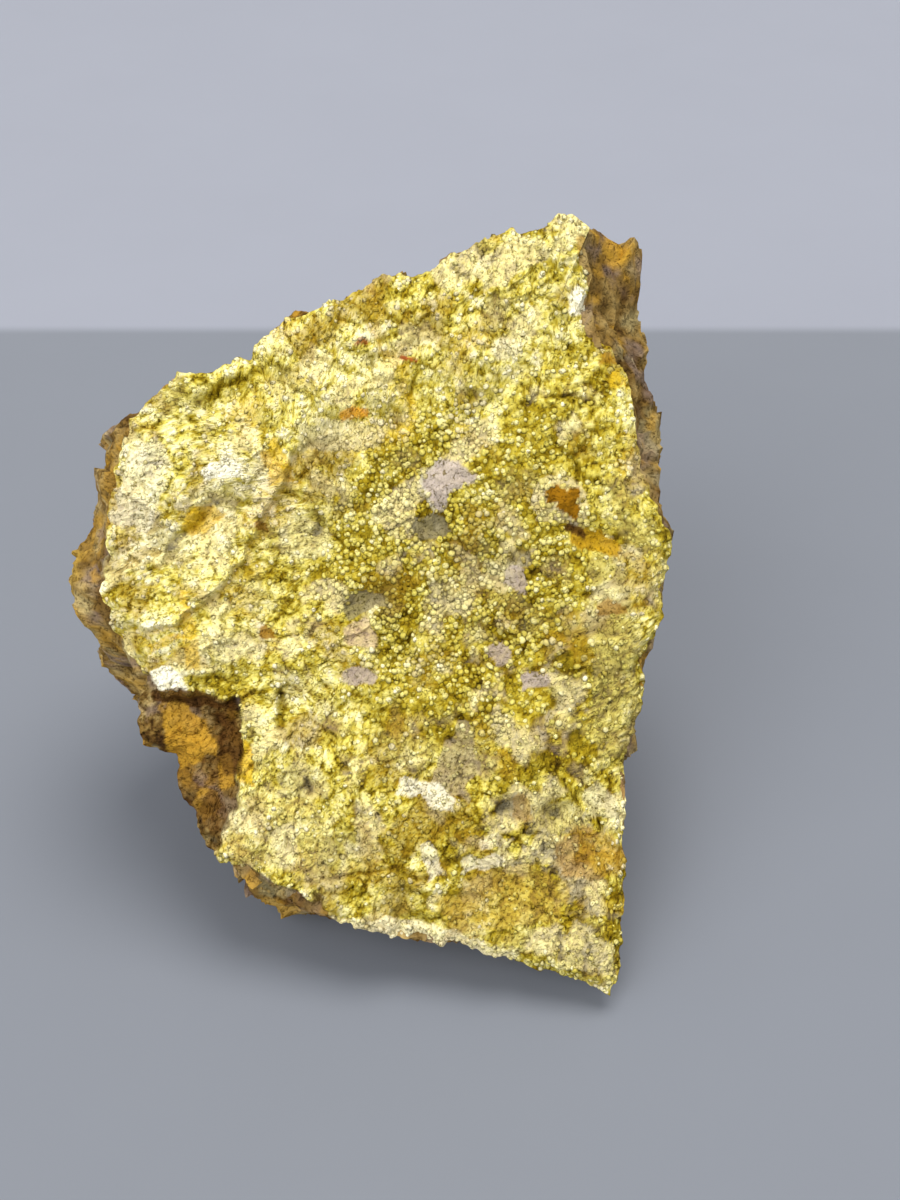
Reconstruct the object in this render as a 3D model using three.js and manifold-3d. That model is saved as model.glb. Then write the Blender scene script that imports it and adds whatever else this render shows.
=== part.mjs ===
// A calcioferrite specimen: one natural piece of rock, lying on its flat underside.
//
// Its broken face is a pale yellow crust that leans back. Behind the crust, the
// flanks, the back and the underside are brown limonite. Crust and limonite have
// grown together, so the whole piece is one closed body.
//
// The body is worked out in the face's own frame, in millimetres: u to the right,
// v up along the face and w out of it, all from the middle of the face. It is then
// leant back and set down, with its flat underside on the table at z = 0.

import * as THREE from 'three';
import Module from 'manifold-3d';
import { mergeVertices } from 'three/addons/utils/BufferGeometryUtils.js';

// ---- driving dimensions, in millimetres and degrees ----

const FACE_LEAN = 52; // from level up to the face
const FACE_HEIGHT = 42.6; // the face's middle above the table
const FOOTPRINT_SHIFT = [10.35, -9.29]; // brings the middle of the bounding box to x = y = 0
const THICKNESS = 47; // from the face's middle straight through to the back
const WEDGE = 0.24; // how much thicker the body gets for each millimetre down the face
const LIMONITE_DEPTH = 13; // how far behind the face the limonite's outline lies
const SHOULDER = 1.9; // above 1, the limonite keeps its width before it draws in to the back

const FACE_MIDDLE = new THREE.Vector2(-4, -2);
const BODY_MIDDLE = new THREE.Vector3(-4, -3, -21);

// The crust's edge, clockwise, as four runs that meet at the face's corners.
const CRUST_EDGE = {
  top: [
    [-34, 28.5], [-30.5, 28.5], [-25, 30], [-23.5, 32.5], [-19, 36], [-14, 37.5],
    [-8.5, 40], [-2.5, 41], [0, 43], [5.5, 46], [8, 47], [9.5, 46], [13.5, 47.5], [16, 48],
  ],
  right: [
    [16, 48], [17.5, 46.5], [16.5, 44], [18, 41], [17, 37], [19, 32.5], [21.5, 29.5],
    [23, 25], [23.5, 19], [25.5, 12], [27.5, 8], [27, 2.5], [25.5, -3], [24, -8],
    [24.5, -13], [21.5, -20.5], [22, -30], [21.5, -46], [20, -49.5],
  ],
  bottom: [
    [20, -49.5], [14.5, -47], [1, -43.5], [-9, -42], [-15.5, -39.5], [-25, -36.5],
    [-27, -33.5], [-30.5, -31], [-32, -26.5],
  ],
  left: [
    [-32, -26.5], [-34.5, -23.5], [-35, -20], [-38.5, -18.5], [-39, -15], [-38.5, -10],
    [-41.5, -5], [-43.5, 1], [-41.5, 16], [-40.5, 20], [-37.5, 24], [-34, 28.5],
  ],
};
const EDGE_DROP = 1.1; // how far the crust rounds off at its edge
const EDGE_WIDTH = 0.06; // the part of the way in from the edge that rounds off

// The limonite's outline behind the crust: wider than the crust at the left and at
// the upper right, a little narrower elsewhere.
const LIMONITE_OUTLINE = {
  top: [[-35.5, 27], [-23, 30.5], [-12, 36], [0, 41.5], [14, 46.5], [25.5, 48.5]],
  right: [
    [25.5, 48.5], [28, 44.5], [27, 36], [27, 28], [28, 20], [29, 9], [26.5, -3], [24, -14],
    [22, -30], [19.5, -46],
  ],
  bottom: [[19.5, -46], [2, -43], [-12, -42.5], [-23, -42], [-28.5, -35.5], [-33.5, -25.5]],
  left: [
    [-33.5, -25.5], [-40.5, -16.5], [-46, -9], [-51, -1], [-51, 3], [-48, 8], [-46, 17],
    [-41.5, 23.5], [-35.5, 27],
  ],
};

const BACK_OUTLINE = {
  top: [[-21, 16], [-8, 24], [16, 27]],
  right: [[16, 27], [20, 8], [21, -14], [17, -38]],
  bottom: [[17, -38], [-6, -42], [-25, -32]],
  left: [[-25, -32], [-34, -14], [-34, 2], [-21, 16]],
};

// Flat fractures that cut the limonite: each faces a way and lies at a distance
// from the body's middle.
const FRACTURES = [
  { faces: [0.04, 0.24, -1], distance: 26 },
  { faces: [0.35, 0.4, -0.85], distance: 27 },
  { faces: [-0.45, -0.05, -0.9], distance: 28.5 },
  { faces: [0.15, 0.75, -0.62], distance: 34 },
  { faces: [-0.35, 0.9, -0.3], distance: 34 },
  { faces: [-0.8, 0.25, -0.62], distance: 34 },
  { faces: [-0.75, 0.55, -0.25], distance: 43 },
  { faces: [-0.8, -0.5, 0], distance: 43 },
  { faces: [0.75, 0.6, -0.3], distance: 50 },
  { faces: [1, -0.15, -0.1], distance: 30 },
  { faces: [0.85, 0.2, -0.5], distance: 28.5 },
  { faces: [0.9, -0.45, -0.25], distance: 32.5 },
  { faces: [-0.62, -0.6, -0.5], distance: 34 },
  { faces: [-0.15, -0.97, -0.25], distance: 40 },
];

// The pale crust stands higher to the left of a curved ledge across the face.
const PLATEAU = {
  height: 1.9,
  edgeWidth: 1.1,
  outline: [
    [-6, 24], [-11.5, 22], [-15.5, 21.5], [-18, 20], [-21, 14.5], [-23, 11.5], [-25, 7],
    [-26.5, 4], [-30, 0], [-34, -3], [-60, -6], [-60, 60], [-16, 60], [-10, 34],
  ],
};

// At the lower left the crust has broken away and leaves the limonite bare.
const BARE_PATCH = {
  height: -1.9,
  edgeWidth: 1,
  outline: [
    [-37.5, -9.5], [-36, -12], [-26, -12], [-26.5, -20], [-26.5, -25], [-28.5, -27.5],
    [-30, -34], [-60, -34], [-60, -11],
  ],
};

// Lumps (rise above 0) and pits (rise below 0) of the face: `size` is half the
// length and half the width, and `turn` tips the length up from the u axis.
const LUMPS = [
  { at: [-33, 17], size: [9, 6], turn: 60, rise: 1.2 },
  { at: [-28, 16], size: [4, 3], turn: 20, rise: 1 },
  { at: [-33, -4], size: [6, 5], turn: 0, rise: 1.3 },
  { at: [-31.5, 27], size: [4.5, 2.2], turn: 10, rise: 1.2 },
  { at: [-27.5, 25], size: [4, 1.2], turn: 25, rise: -1.4 },
  { at: [-30, 9.5], size: [5, 2], turn: 55, rise: -1.8 },
  { at: [-10, 22.5], size: [5, 1.6], turn: 0, rise: -0.9 },
  { at: [-2, 33], size: [8, 5], turn: 30, rise: 1.1 },
  { at: [-7, 30.5], size: [5, 1], turn: 25, rise: -1.2 },
  { at: [9, 38], size: [9, 5], turn: 50, rise: 1.2 },
  { at: [6, 31.5], size: [4, 2.4], turn: 60, rise: 1.1 },
  { at: [-0.5, 15], size: [3.2, 2.6], turn: 40, rise: 1.1 },
  { at: [-2, 9], size: [2.6, 1.8], turn: 20, rise: -1.2 },
  { at: [-10, 0], size: [2.8, 1.8], turn: 20, rise: -1.3 },
  { at: [14, 12.5], size: [2.3, 1.8], turn: 10, rise: 1.2 },
  { at: [18, 7.5], size: [3.2, 1.8], turn: -15, rise: -1.3 },
  { at: [22, 4], size: [3.5, 9], turn: 8, rise: 1.1 },
  { at: [19, -6], size: [6, 3], turn: 10, rise: 1.1 },
  { at: [5, -4], size: [10, 7], turn: 0, rise: -1.1 },
  { at: [-12, -9], size: [7, 4], turn: -30, rise: 0.9 },
  { at: [-20, -13], size: [2, 3.4], turn: 0, rise: -1.2 },
  { at: [-14, -24], size: [9, 6], turn: -30, rise: 1.2 },
  { at: [-24, -28], size: [5, 4], turn: -40, rise: 1 },
  { at: [2, -20], size: [7, 3], turn: -60, rise: -1.3 },
  { at: [13, -26.5], size: [2, 1.5], turn: 0, rise: -2.4 },
  { at: [7, -26], size: [1.8, 1.5], turn: 0, rise: -1.8 },
  { at: [14, -20], size: [7, 4], turn: -20, rise: 0.9 },
  { at: [-4, -36], size: [9, 4], turn: -15, rise: 1 },
  { at: [9, -34], size: [6, 4], turn: -30, rise: -1.1 },
  { at: [17, -44], size: [3.5, 4], turn: 30, rise: 1.7 },
];

// Roughness that the shapes above don't give: bumps about this far apart, this high.
const FACE_ROUGHNESS = { spacing: 5.5, height: 0.55 };
const EDGE_ROUGHNESS = { spacing: 3.6, height: 0.55 };
const FLANK_BLOCKS = { spacing: 13, height: 3.2 };
const FLANK_ROUGHNESS = { spacing: 6.5, height: 0.8 };

// ---- mesh steps ----

const FACE_STEPS = 40; // cells along each side of the face, and of the back
const FLANK_STEPS = 14; // cells from the face to the back
const SIDES = ['top', 'right', 'bottom', 'left'];

const CRUST = { color: 0xc8b060, roughness: 0.95, metalness: 0 };

// ---- helpers ----

// A number from 0 to 1 for each whole-number point of space, always the same one.
function pick(i, j, k) {
  const mixed = 43758.5453 * Math.sin(127.1 * i + 311.7 * j + 74.7 * k);
  return mixed - Math.floor(mixed);
}

// Noise from -1 to 1: the picks at the eight corners around a point, blended.
function noise(point) {
  const low = point.map(Math.floor);
  const ease = point.map((value, axis) => THREE.MathUtils.smoothstep(value - low[axis], 0, 1));
  let sum = 0;
  for (let corner = 0; corner < 8; corner += 1) {
    const up = [corner % 2, Math.floor(corner / 2) % 2, Math.floor(corner / 4)];
    const weight = up.reduce((product, isUp, axis) => product * (isUp ? ease[axis] : 1 - ease[axis]), 1);
    sum += weight * pick(low[0] + up[0], low[1] + up[1], low[2] + up[2]);
  }
  return 2 * sum - 1;
}

// Noise of a spacing and a height, on axes that are turned off the face's own.
function roughness({ spacing, height }, u, v, w) {
  const across = 0.8 * u + 0.6 * v;
  const up = 0.8 * v - 0.6 * u;
  const turned = [across, 0.8 * up + 0.6 * w, 0.8 * w - 0.6 * up];
  return height * noise(turned.map((value) => value / spacing));
}

function fallOff(distance, spread) {
  return Math.exp(-((distance / spread) ** 2));
}

// The distance from a point to an outline, above 0 inside it and below 0 outside.
function depthInside(outline, u, v) {
  let nearest = Infinity;
  let inside = false;
  outline.forEach(([u0, v0], index) => {
    const [u1, v1] = outline[(index + 1) % outline.length];
    const along = ((u - u0) * (u1 - u0) + (v - v0) * (v1 - v0)) / ((u1 - u0) ** 2 + (v1 - v0) ** 2);
    const clamped = THREE.MathUtils.clamp(along, 0, 1);
    nearest = Math.min(nearest, Math.hypot(u - u0 - clamped * (u1 - u0), v - v0 - clamped * (v1 - v0)));
    if (v0 > v !== v1 > v && u < u0 + ((v - v0) / (v1 - v0)) * (u1 - u0)) inside = !inside;
  });
  return inside ? nearest : -nearest;
}

function step({ outline, height, edgeWidth }, u, v) {
  return height * THREE.MathUtils.smoothstep(depthInside(outline, u, v), -edgeWidth, edgeWidth);
}

function lump({ at, size, turn, rise }, u, v) {
  const angle = THREE.MathUtils.degToRad(turn);
  const along = (u - at[0]) * Math.cos(angle) + (v - at[1]) * Math.sin(angle);
  const across = (v - at[1]) * Math.cos(angle) - (u - at[0]) * Math.sin(angle);
  return rise * fallOff(Math.hypot(along / size[0], across / size[1]), 1);
}

// How far the face stands out at a place.
function faceHeight(u, v) {
  const shapes = LUMPS.reduce((sum, shape) => sum + lump(shape, u, v), 0);
  return shapes + step(PLATEAU, u, v) + step(BARE_PATCH, u, v) + roughness(FACE_ROUGHNESS, u, v, 0);
}

// The point at a fraction of the way along one run of an outline.
function alongRun(run, fraction) {
  const lengths = run.slice(1).map(([u, v], index) => Math.hypot(u - run[index][0], v - run[index][1]));
  let left = fraction * lengths.reduce((sum, length) => sum + length, 0);
  let index = 0;
  while (index < lengths.length - 1 && left > lengths[index]) {
    left -= lengths[index];
    index += 1;
  }
  const start = new THREE.Vector2(...run[index]);
  return start.lerp(new THREE.Vector2(...run[index + 1]), left / lengths[index]);
}

// An outline's point at a place from 0 to 4: whole numbers are the corners.
function outlinePoint(outline, place) {
  const side = Math.floor(place) % SIDES.length;
  return alongRun(outline[SIDES[side]], place - Math.floor(place));
}

function crustEdge(place) {
  const edge = outlinePoint(CRUST_EDGE, place);
  const outward = edge.clone().sub(FACE_MIDDLE).normalize();
  return edge.addScaledVector(outward, roughness(EDGE_ROUGHNESS, edge.x, edge.y, 0));
}

// The place along the edge that a cell of a square grid from -1 to 1 belongs to.
function edgePlace(a, b) {
  const ring = Math.max(Math.abs(a), Math.abs(b));
  if (ring === 0) return 0;
  if (b === ring) return (1 + a / ring) / 2;
  if (a === ring) return 1 + (1 - b / ring) / 2;
  if (b === -ring) return 2 + (1 - a / ring) / 2;
  return 3 + (1 + b / ring) / 2;
}

// ---- the body's surface ----

// The face: a square grid that is stretched to fill the crust's edge.
function facePoint(a, b) {
  const ring = Math.max(Math.abs(a), Math.abs(b));
  const spot = FACE_MIDDLE.clone().lerp(crustEdge(edgePlace(a, b)), ring);
  const drop = EDGE_DROP * THREE.MathUtils.smoothstep(ring, 1 - EDGE_WIDTH, 1);
  return new THREE.Vector3(spot.x, spot.y, faceHeight(spot.x, spot.y) - drop);
}

// The flanks and the back, before they are broken: the outline runs from the
// crust's edge over the limonite's outline to the back's, where ring 0 closes it.
function bodyPoint(place, depth, ring) {
  const edge = crustEdge(place);
  const start = facePoint(...gridPlace(place)).z;
  const behindEdge = depth * (start + THICKNESS - WEDGE * edge.y);
  const widened = THREE.MathUtils.smoothstep(behindEdge, 0, LIMONITE_DEPTH);
  const drawnIn = Math.max(0, (behindEdge - LIMONITE_DEPTH) / (THICKNESS - LIMONITE_DEPTH));
  const spot = edge.lerp(outlinePoint(LIMONITE_OUTLINE, place), widened);
  spot.lerp(outlinePoint(BACK_OUTLINE, place), Math.min(1, drawnIn) ** SHOULDER);
  spot.sub(FACE_MIDDLE).multiplyScalar(ring).add(FACE_MIDDLE);
  const back = THICKNESS - WEDGE * spot.y;
  return new THREE.Vector3(spot.x, spot.y, THREE.MathUtils.lerp(start, -back, depth));
}

// The grid cell on the border that belongs to a place along the edge.
function gridPlace(place) {
  const side = Math.floor(place) % SIDES.length;
  const along = 2 * (place - Math.floor(place)) - 1;
  return [[along, 1], [1, -along], [-along, -1], [-1, along]][side];
}

// Breaks a point of the flanks or the back along the fractures, then roughens it
// with lumps and with blunt ridges that have hollows between them.
function broken(point) {
  const ray = point.clone().sub(BODY_MIDDLE);
  let reach = 1;
  for (const { faces, distance } of FRACTURES) {
    const outward = new THREE.Vector3(...faces).normalize().dot(ray);
    if (outward * reach > distance) reach = distance / outward;
  }
  ray.multiplyScalar(reach);
  const settled = THREE.MathUtils.smoothstep(-point.z, 1, 8);
  const lumps = roughness(FLANK_ROUGHNESS, ray.x, ray.y, ray.z);
  const blocks = Math.abs(roughness(FLANK_BLOCKS, ray.x, ray.y, ray.z));
  ray.addScaledVector(ray.clone().normalize(), settled * (lumps - blocks));
  return ray.add(BODY_MIDDLE);
}

// Leans a point of the face's frame back and lifts it to its height over the table.
function placed(point) {
  point.applyAxisAngle(new THREE.Vector3(1, 0, 0), THREE.MathUtils.degToRad(FACE_LEAN));
  return point.add(new THREE.Vector3(FOOTPRINT_SHIFT[0], FOOTPRINT_SHIFT[1], FACE_HEIGHT));
}

// ---- building ----

// Joins a grid of points into triangles that face the side the rows turn towards.
function addGrid(positions, rows) {
  for (let row = 0; row < rows.length - 1; row += 1) {
    for (let column = 0; column < rows[row].length - 1; column += 1) {
      const corners = [rows[row][column], rows[row][column + 1], rows[row + 1][column + 1], rows[row + 1][column]];
      const shortWay = corners[0].distanceTo(corners[2]) < corners[1].distanceTo(corners[3]);
      const order = shortWay ? [0, 1, 2, 0, 2, 3] : [0, 1, 3, 1, 2, 3];
      order.forEach((corner) => positions.push(...corners[corner].toArray()));
    }
  }
}

function gridRows(rowCount, columnCount, pointAt) {
  return Array.from({ length: rowCount + 1 }, (_, row) =>
    Array.from({ length: columnCount + 1 }, (__, column) => placed(pointAt(row, column))));
}

function specimenGeometry() {
  const positions = [];
  const grid = (index) => (2 * index) / FACE_STEPS - 1;
  addGrid(positions, gridRows(FACE_STEPS, FACE_STEPS, (row, column) => facePoint(grid(column), grid(row))));
  const around = SIDES.length * FACE_STEPS;
  addGrid(positions, gridRows(FLANK_STEPS, around, (row, column) => {
    const place = (column / FACE_STEPS) % SIDES.length;
    if (row === 0) return facePoint(...gridPlace(place));
    return broken(bodyPoint(place, row / FLANK_STEPS, 1));
  }));
  addGrid(positions, gridRows(FACE_STEPS, FACE_STEPS, (row, column) => {
    const a = -grid(column);
    const b = grid(row);
    return broken(bodyPoint(edgePlace(a, b), 1, Math.max(Math.abs(a), Math.abs(b))));
  }));
  const geometry = new THREE.BufferGeometry();
  geometry.setAttribute('position', new THREE.Float32BufferAttribute(positions, 3));
  return mergeVertices(geometry, 1e-4);
}

function toSolid(geometry) {
  const { Manifold, Mesh } = wasm;
  return new Manifold(new Mesh({
    numProp: 3,
    vertProperties: geometry.attributes.position.array,
    triVerts: new Uint32Array(geometry.index.array),
  }));
}

function toGeometry(solid) {
  const { vertProperties, triVerts } = solid.getMesh();
  const geometry = new THREE.BufferGeometry();
  geometry.setAttribute('position', new THREE.BufferAttribute(vertProperties, 3));
  geometry.setIndex(new THREE.BufferAttribute(triVerts, 1));
  geometry.computeVertexNormals();
  return geometry;
}

// Everything below the table, as a box that is cut off to leave the flat underside.
function belowTable() {
  const side = 4 * THICKNESS;
  const box = new THREE.BoxGeometry(side, side, side);
  box.deleteAttribute('normal');
  box.deleteAttribute('uv');
  return mergeVertices(box.translate(0, 0, -side / 2));
}

const wasm = await Module();
wasm.setup();

const solid = toSolid(specimenGeometry()).subtract(toSolid(belowTable()));
const specimen = new THREE.Mesh(toGeometry(solid), new THREE.MeshStandardMaterial(CRUST));
specimen.name = 'specimen';

const part = new THREE.Group();
part.add(specimen);

export default part;
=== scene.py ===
"""A calcioferrite specimen: a leaning, broken face of pale yellow granular crust on a
piece of brown limonite, on a plain floor.

Shapes are worked out in millimetres in the face's own frame: u to the right, v up
along the face and w out of it, all from the middle of the face. `to_part` leans that
frame back and puts it in place in the part's frame, in metres.
"""
import functools
import itertools
import math

import bpy
import numpy as np
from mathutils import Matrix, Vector


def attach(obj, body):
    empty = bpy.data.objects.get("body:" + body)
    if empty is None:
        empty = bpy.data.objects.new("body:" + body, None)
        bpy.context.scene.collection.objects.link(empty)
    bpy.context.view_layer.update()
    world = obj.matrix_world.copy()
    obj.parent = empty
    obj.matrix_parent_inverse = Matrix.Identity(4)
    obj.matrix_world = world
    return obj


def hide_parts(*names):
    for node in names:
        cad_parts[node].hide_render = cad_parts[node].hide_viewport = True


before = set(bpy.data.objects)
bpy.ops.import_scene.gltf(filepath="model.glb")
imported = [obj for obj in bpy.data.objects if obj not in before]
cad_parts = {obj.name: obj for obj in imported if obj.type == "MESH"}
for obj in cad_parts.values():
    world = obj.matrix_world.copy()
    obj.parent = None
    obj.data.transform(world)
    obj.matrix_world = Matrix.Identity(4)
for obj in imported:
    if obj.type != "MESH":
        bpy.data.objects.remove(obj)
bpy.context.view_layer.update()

# ---- sizes that the solid shares, in millimetres and degrees ----

# A millimetre in metres.
MM = 0.001
# How steep the face is, from level.
FACE_LEAN = 52
# Where the middle of the face's frame lies in the part's frame.
FACE_PLACE = np.array([10.35, -9.29, 42.6])
# The thickness at the face's middle, and how much it loses for each millimetre up
# the face.
THICKNESS = 47
WEDGE = 0.24
# How far behind the crust's edge the limonite is widest, and how round its shoulder is.
LIMONITE_DEPTH = 13
SHOULDER = 1.9
# The points that the face's rings and the flanks' fractures are measured from.
FACE_MIDDLE = np.array([-4.0, -2.0])
BODY_MIDDLE = np.array([-4.0, -3.0, -21.0])

# Each outline runs clockwise in four runs that meet at the face's corners.
CRUST_EDGE = (
    [(-34, 28.5), (-30.5, 28.5), (-25, 30), (-23.5, 32.5), (-19, 36), (-14, 37.5),
     (-8.5, 40), (-2.5, 41), (0, 43), (5.5, 46), (8, 47), (9.5, 46), (13.5, 47.5), (16, 48)],
    [(16, 48), (17.5, 46.5), (16.5, 44), (18, 41), (17, 37), (19, 32.5), (21.5, 29.5),
     (23, 25), (23.5, 19), (25.5, 12), (27.5, 8), (27, 2.5), (25.5, -3), (24, -8),
     (24.5, -13), (21.5, -20.5), (22, -30), (21.5, -46), (20, -49.5)],
    [(20, -49.5), (14.5, -47), (1, -43.5), (-9, -42), (-15.5, -39.5), (-25, -36.5),
     (-27, -33.5), (-30.5, -31), (-32, -26.5)],
    [(-32, -26.5), (-34.5, -23.5), (-35, -20), (-38.5, -18.5), (-39, -15), (-38.5, -10),
     (-41.5, -5), (-43.5, 1), (-41.5, 16), (-40.5, 20), (-37.5, 24), (-34, 28.5)],
)
LIMONITE_OUTLINE = (
    [(-35.5, 27), (-23, 30.5), (-12, 36), (0, 41.5), (14, 46.5), (25.5, 48.5)],
    [(25.5, 48.5), (28, 44.5), (27, 36), (27, 28), (28, 20), (29, 9), (26.5, -3), (24, -14),
     (22, -30), (19.5, -46)],
    [(19.5, -46), (2, -43), (-12, -42.5), (-23, -42), (-28.5, -35.5), (-33.5, -25.5)],
    [(-33.5, -25.5), (-40.5, -16.5), (-46, -9), (-51, -1), (-51, 3), (-48, 8), (-46, 17),
     (-41.5, 23.5), (-35.5, 27)],
)
BACK_OUTLINE = (
    [(-21, 16), (-8, 24), (16, 27)],
    [(16, 27), (20, 8), (21, -14), (17, -38)],
    [(17, -38), (-6, -42), (-25, -32)],
    [(-25, -32), (-34, -14), (-34, 2), (-21, 16)],
)
# How far the face drops at its edge, and over which share of the way to the middle.
EDGE_DROP = 1.1
EDGE_WIDTH = 0.06

# Flat fractures of the limonite: the way each faces, and its distance from the
# body's middle.
FRACTURES = (
    ((0.04, 0.24, -1), 26), ((0.35, 0.4, -0.85), 27), ((-0.45, -0.05, -0.9), 28.5),
    ((0.15, 0.75, -0.62), 34), ((-0.35, 0.9, -0.3), 34), ((-0.8, 0.25, -0.62), 34),
    ((-0.75, 0.55, -0.25), 43), ((-0.8, -0.5, 0), 43), ((0.75, 0.6, -0.3), 50),
    ((1, -0.15, -0.1), 30), ((0.85, 0.2, -0.5), 28.5), ((0.9, -0.45, -0.25), 32.5),
    ((-0.62, -0.6, -0.5), 34), ((-0.15, -0.97, -0.25), 40),
)

# The crust's higher left part and how high it stands, and the corner where the crust
# has broken away and how deep.
PLATEAU = [
    (-6, 24), (-11.5, 22), (-15.5, 21.5), (-18, 20), (-21, 14.5), (-23, 11.5), (-25, 7),
    (-26.5, 4), (-30, 0), (-34, -3), (-60, -6), (-60, 60), (-16, 60), (-10, 34),
]
PLATEAU_HEIGHT = 1.9
BARE_PATCH = [
    (-37.5, -9.5), (-36, -12), (-26, -12), (-26.5, -20), (-26.5, -25), (-28.5, -27.5),
    (-30, -34), (-60, -34), (-60, -11),
]
BARE_DEPTH = 1.9

# How softly the solid rises to the plateau and falls to the bare corner.
SOLID_LEDGE = 1.1
SOLID_BARE_EDGE = 1

# Lumps and pits of the face: place, half length and half width, turn, rise.
LUMPS = (
    ((-33, 17), (9, 6), 60, 1.2), ((-28, 16), (4, 3), 20, 1), ((-33, -4), (6, 5), 0, 1.3),
    ((-31.5, 27), (4.5, 2.2), 10, 1.2), ((-27.5, 25), (4, 1.2), 25, -1.4),
    ((-30, 9.5), (5, 2), 55, -1.8), ((-10, 22.5), (5, 1.6), 0, -0.9),
    ((-2, 33), (8, 5), 30, 1.1), ((-7, 30.5), (5, 1), 25, -1.2), ((9, 38), (9, 5), 50, 1.2),
    ((6, 31.5), (4, 2.4), 60, 1.1),
    ((-0.5, 15), (3.2, 2.6), 40, 1.1), ((-2, 9), (2.6, 1.8), 20, -1.2),
    ((-10, 0), (2.8, 1.8), 20, -1.3), ((14, 12.5), (2.3, 1.8), 10, 1.2),
    ((18, 7.5), (3.2, 1.8), -15, -1.3), ((22, 4), (3.5, 9), 8, 1.1), ((19, -6), (6, 3), 10, 1.1),
    ((5, -4), (10, 7), 0, -1.1), ((-12, -9), (7, 4), -30, 0.9), ((-20, -13), (2, 3.4), 0, -1.2),
    ((-14, -24), (9, 6), -30, 1.2), ((-24, -28), (5, 4), -40, 1), ((2, -20), (7, 3), -60, -1.3),
    ((13, -26.5), (2, 1.5), 0, -2.4), ((7, -26), (1.8, 1.5), 0, -1.8),
    ((14, -20), (7, 4), -20, 0.9), ((-4, -36), (9, 4), -15, 1), ((9, -34), (6, 4), -30, -1.1),
    ((17, -44), (3.5, 4), 30, 1.7),
)

# Roughness the solid has: spacing and height.
FACE_ROUGHNESS = (5.5, 0.55)
EDGE_ROUGHNESS = (3.6, 0.55)
FLANK_BLOCKS = (13, 3.2)
FLANK_ROUGHNESS = (6.5, 0.8)

# ---- finer shapes that only the surface has, in millimetres ----

# Narrow cracks and the feet of small ledges: points, half width and depth.
CRACKS = (
    ([(-3.8, 34), (-8.5, 32.5), (-12.6, 30.8)], 0.4, 0.5),
    ([(-24.5, 28), (-28, 26.5), (-31.5, 24.6)], 0.6, 0.8),
    ([(-35, 5.4), (-30.9, 10.5), (-29.6, 12.4), (-26.4, 12)], 0.6, 1),
    ([(-21, -12.3), (-21.3, -15.8)], 0.5, 1.2),
    ([(-18, -22.4), (-17.6, -24)], 0.4, 1),
    ([(-17, 8.8), (-16.6, 10)], 0.5, 1),
    ([(-4.2, -4), (-7.4, -8.1)], 0.25, 0.5),
    ([(-1, 2), (-1.1, -1.3)], 0.25, 0.5),
    ([(18.5, 22), (15.5, 17.5), (16, 14.8)], 0.4, 0.7),
    ([(9.4, 24.5), (13, 26), (17.5, 25)], 0.35, 0.6),
    ([(12.4, -26.2), (13.4, -27)], 0.35, 0.6),
    ([(6.3, -26.4), (7.9, -25.8)], 0.6, 1.4),
    ([(11.8, -30.4), (12.1, -31.1)], 0.4, 1.1),
    ([(-20, -29.7), (-20.1, -30.3)], 0.4, 1),
    ([(-16.2, -35), (-9, -33.5), (-3, -35)], 0.3, 0.5),
    ([(13.5, -41.8), (13.9, -45)], 0.4, 0.8),
)

# A narrow bare strip along the lower left edge, where the limonite looks out.
LOWER_BARE_PATCH = [
    (-26.5, -33.2), (-21.8, -35.2), (-18.1, -37), (-16.4, -38), (-15.1, -39.4), (-14, -41.5),
    (-16, -47), (-31, -47), (-30, -34.5),
]
# How the crust's broken edge wanders, strength, layer and spacing of noise, and half
# the width of its slope.
BARE_WANDER = (1.1, 33.0, 3.2)
BARE_EDGE = 0.25

# Zones of the face, each the place, half length and half width, and turn of an oval:
# where granules grow, where they are whole and round, where the crust is fibrous, and
# where the plateau's ledge slopes most gently.
GRANULE_ZONE = ((5, 3), (21, 25), 0)
ROUND_ZONE = ((-1, 6), (18.5, 20.5), 0)
FIBRE_ZONES = (((-37, 12), (9, 13), -20), ((18, -5), (9, 19), 10))
GENTLE_ZONE = ((-12, 22.5), (7, 4), 0)
# How uneven the granules' two zones are, strength, layer and spacing of noise; then
# where each zone starts to fade and where it ends, as shares of its half sizes.
GRANULE_FRAY = (0.3, 3.0, 6)
ROUND_FRAY = (0.4, 13.0, 5)
GRANULE_FADE = (0.75, 1.1)
ROUND_FADE = (0.7, 1.15)
FIBRE_FADE = (0.7, 1.3)
# The ledge's half width where it is steepest, what gentle places add to it, and where
# noise puts them: its layer and spacing, and the levels where they begin and are whole.
LEDGE_WIDTH = 0.3
LEDGE_SPREAD = 1.1
GENTLE_SPREAD = 2.2
GENTLE_PLACES = (50.0, 7.0, -0.15, 0.25)

# Spacing and height of the finest unevenness of edges, and the layers of noise that
# move ragged ones sideways and upwards.
RAGGED = (1.6, 0.55)
RAGGED_LAYERS = (5.0, 15.0)
FINE_EDGE = (1.5, 0.55)
FINEST_EDGE = (0.6, 0.3)

# Thin sheets: the noise's layer and spacing, steps to a unit of it and the height of
# that unit, and half the width of a step's slope as a share of its sheet.
TERRACE_NOISE = (40.0, 10)
TERRACE_COUNT = 4
TERRACE_HEIGHT = 1.7
TERRACE_STEP = 0.04
# Plates of the crust: spacing, height, tilt, depth of the gaps round them, spread of tone.
PLATES = (
    (5.2, 0.38, 0.05, 0.3, 0.05), (2.1, 0.22, 0.07, 0.2, 0.1), (0.85, 0.1, 0.06, 0.1, 0.09),
)
# How ragged a plate's edge is, spacing and height, in plates; the half width of the
# gaps in plates, and how dark they are painted as shade, in spreads of tone.
PLATE_EDGE = (0.4, 0.3)
GAP_WIDTH = 0.13
PLATE_GAP_SHADE = 2.5
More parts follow.
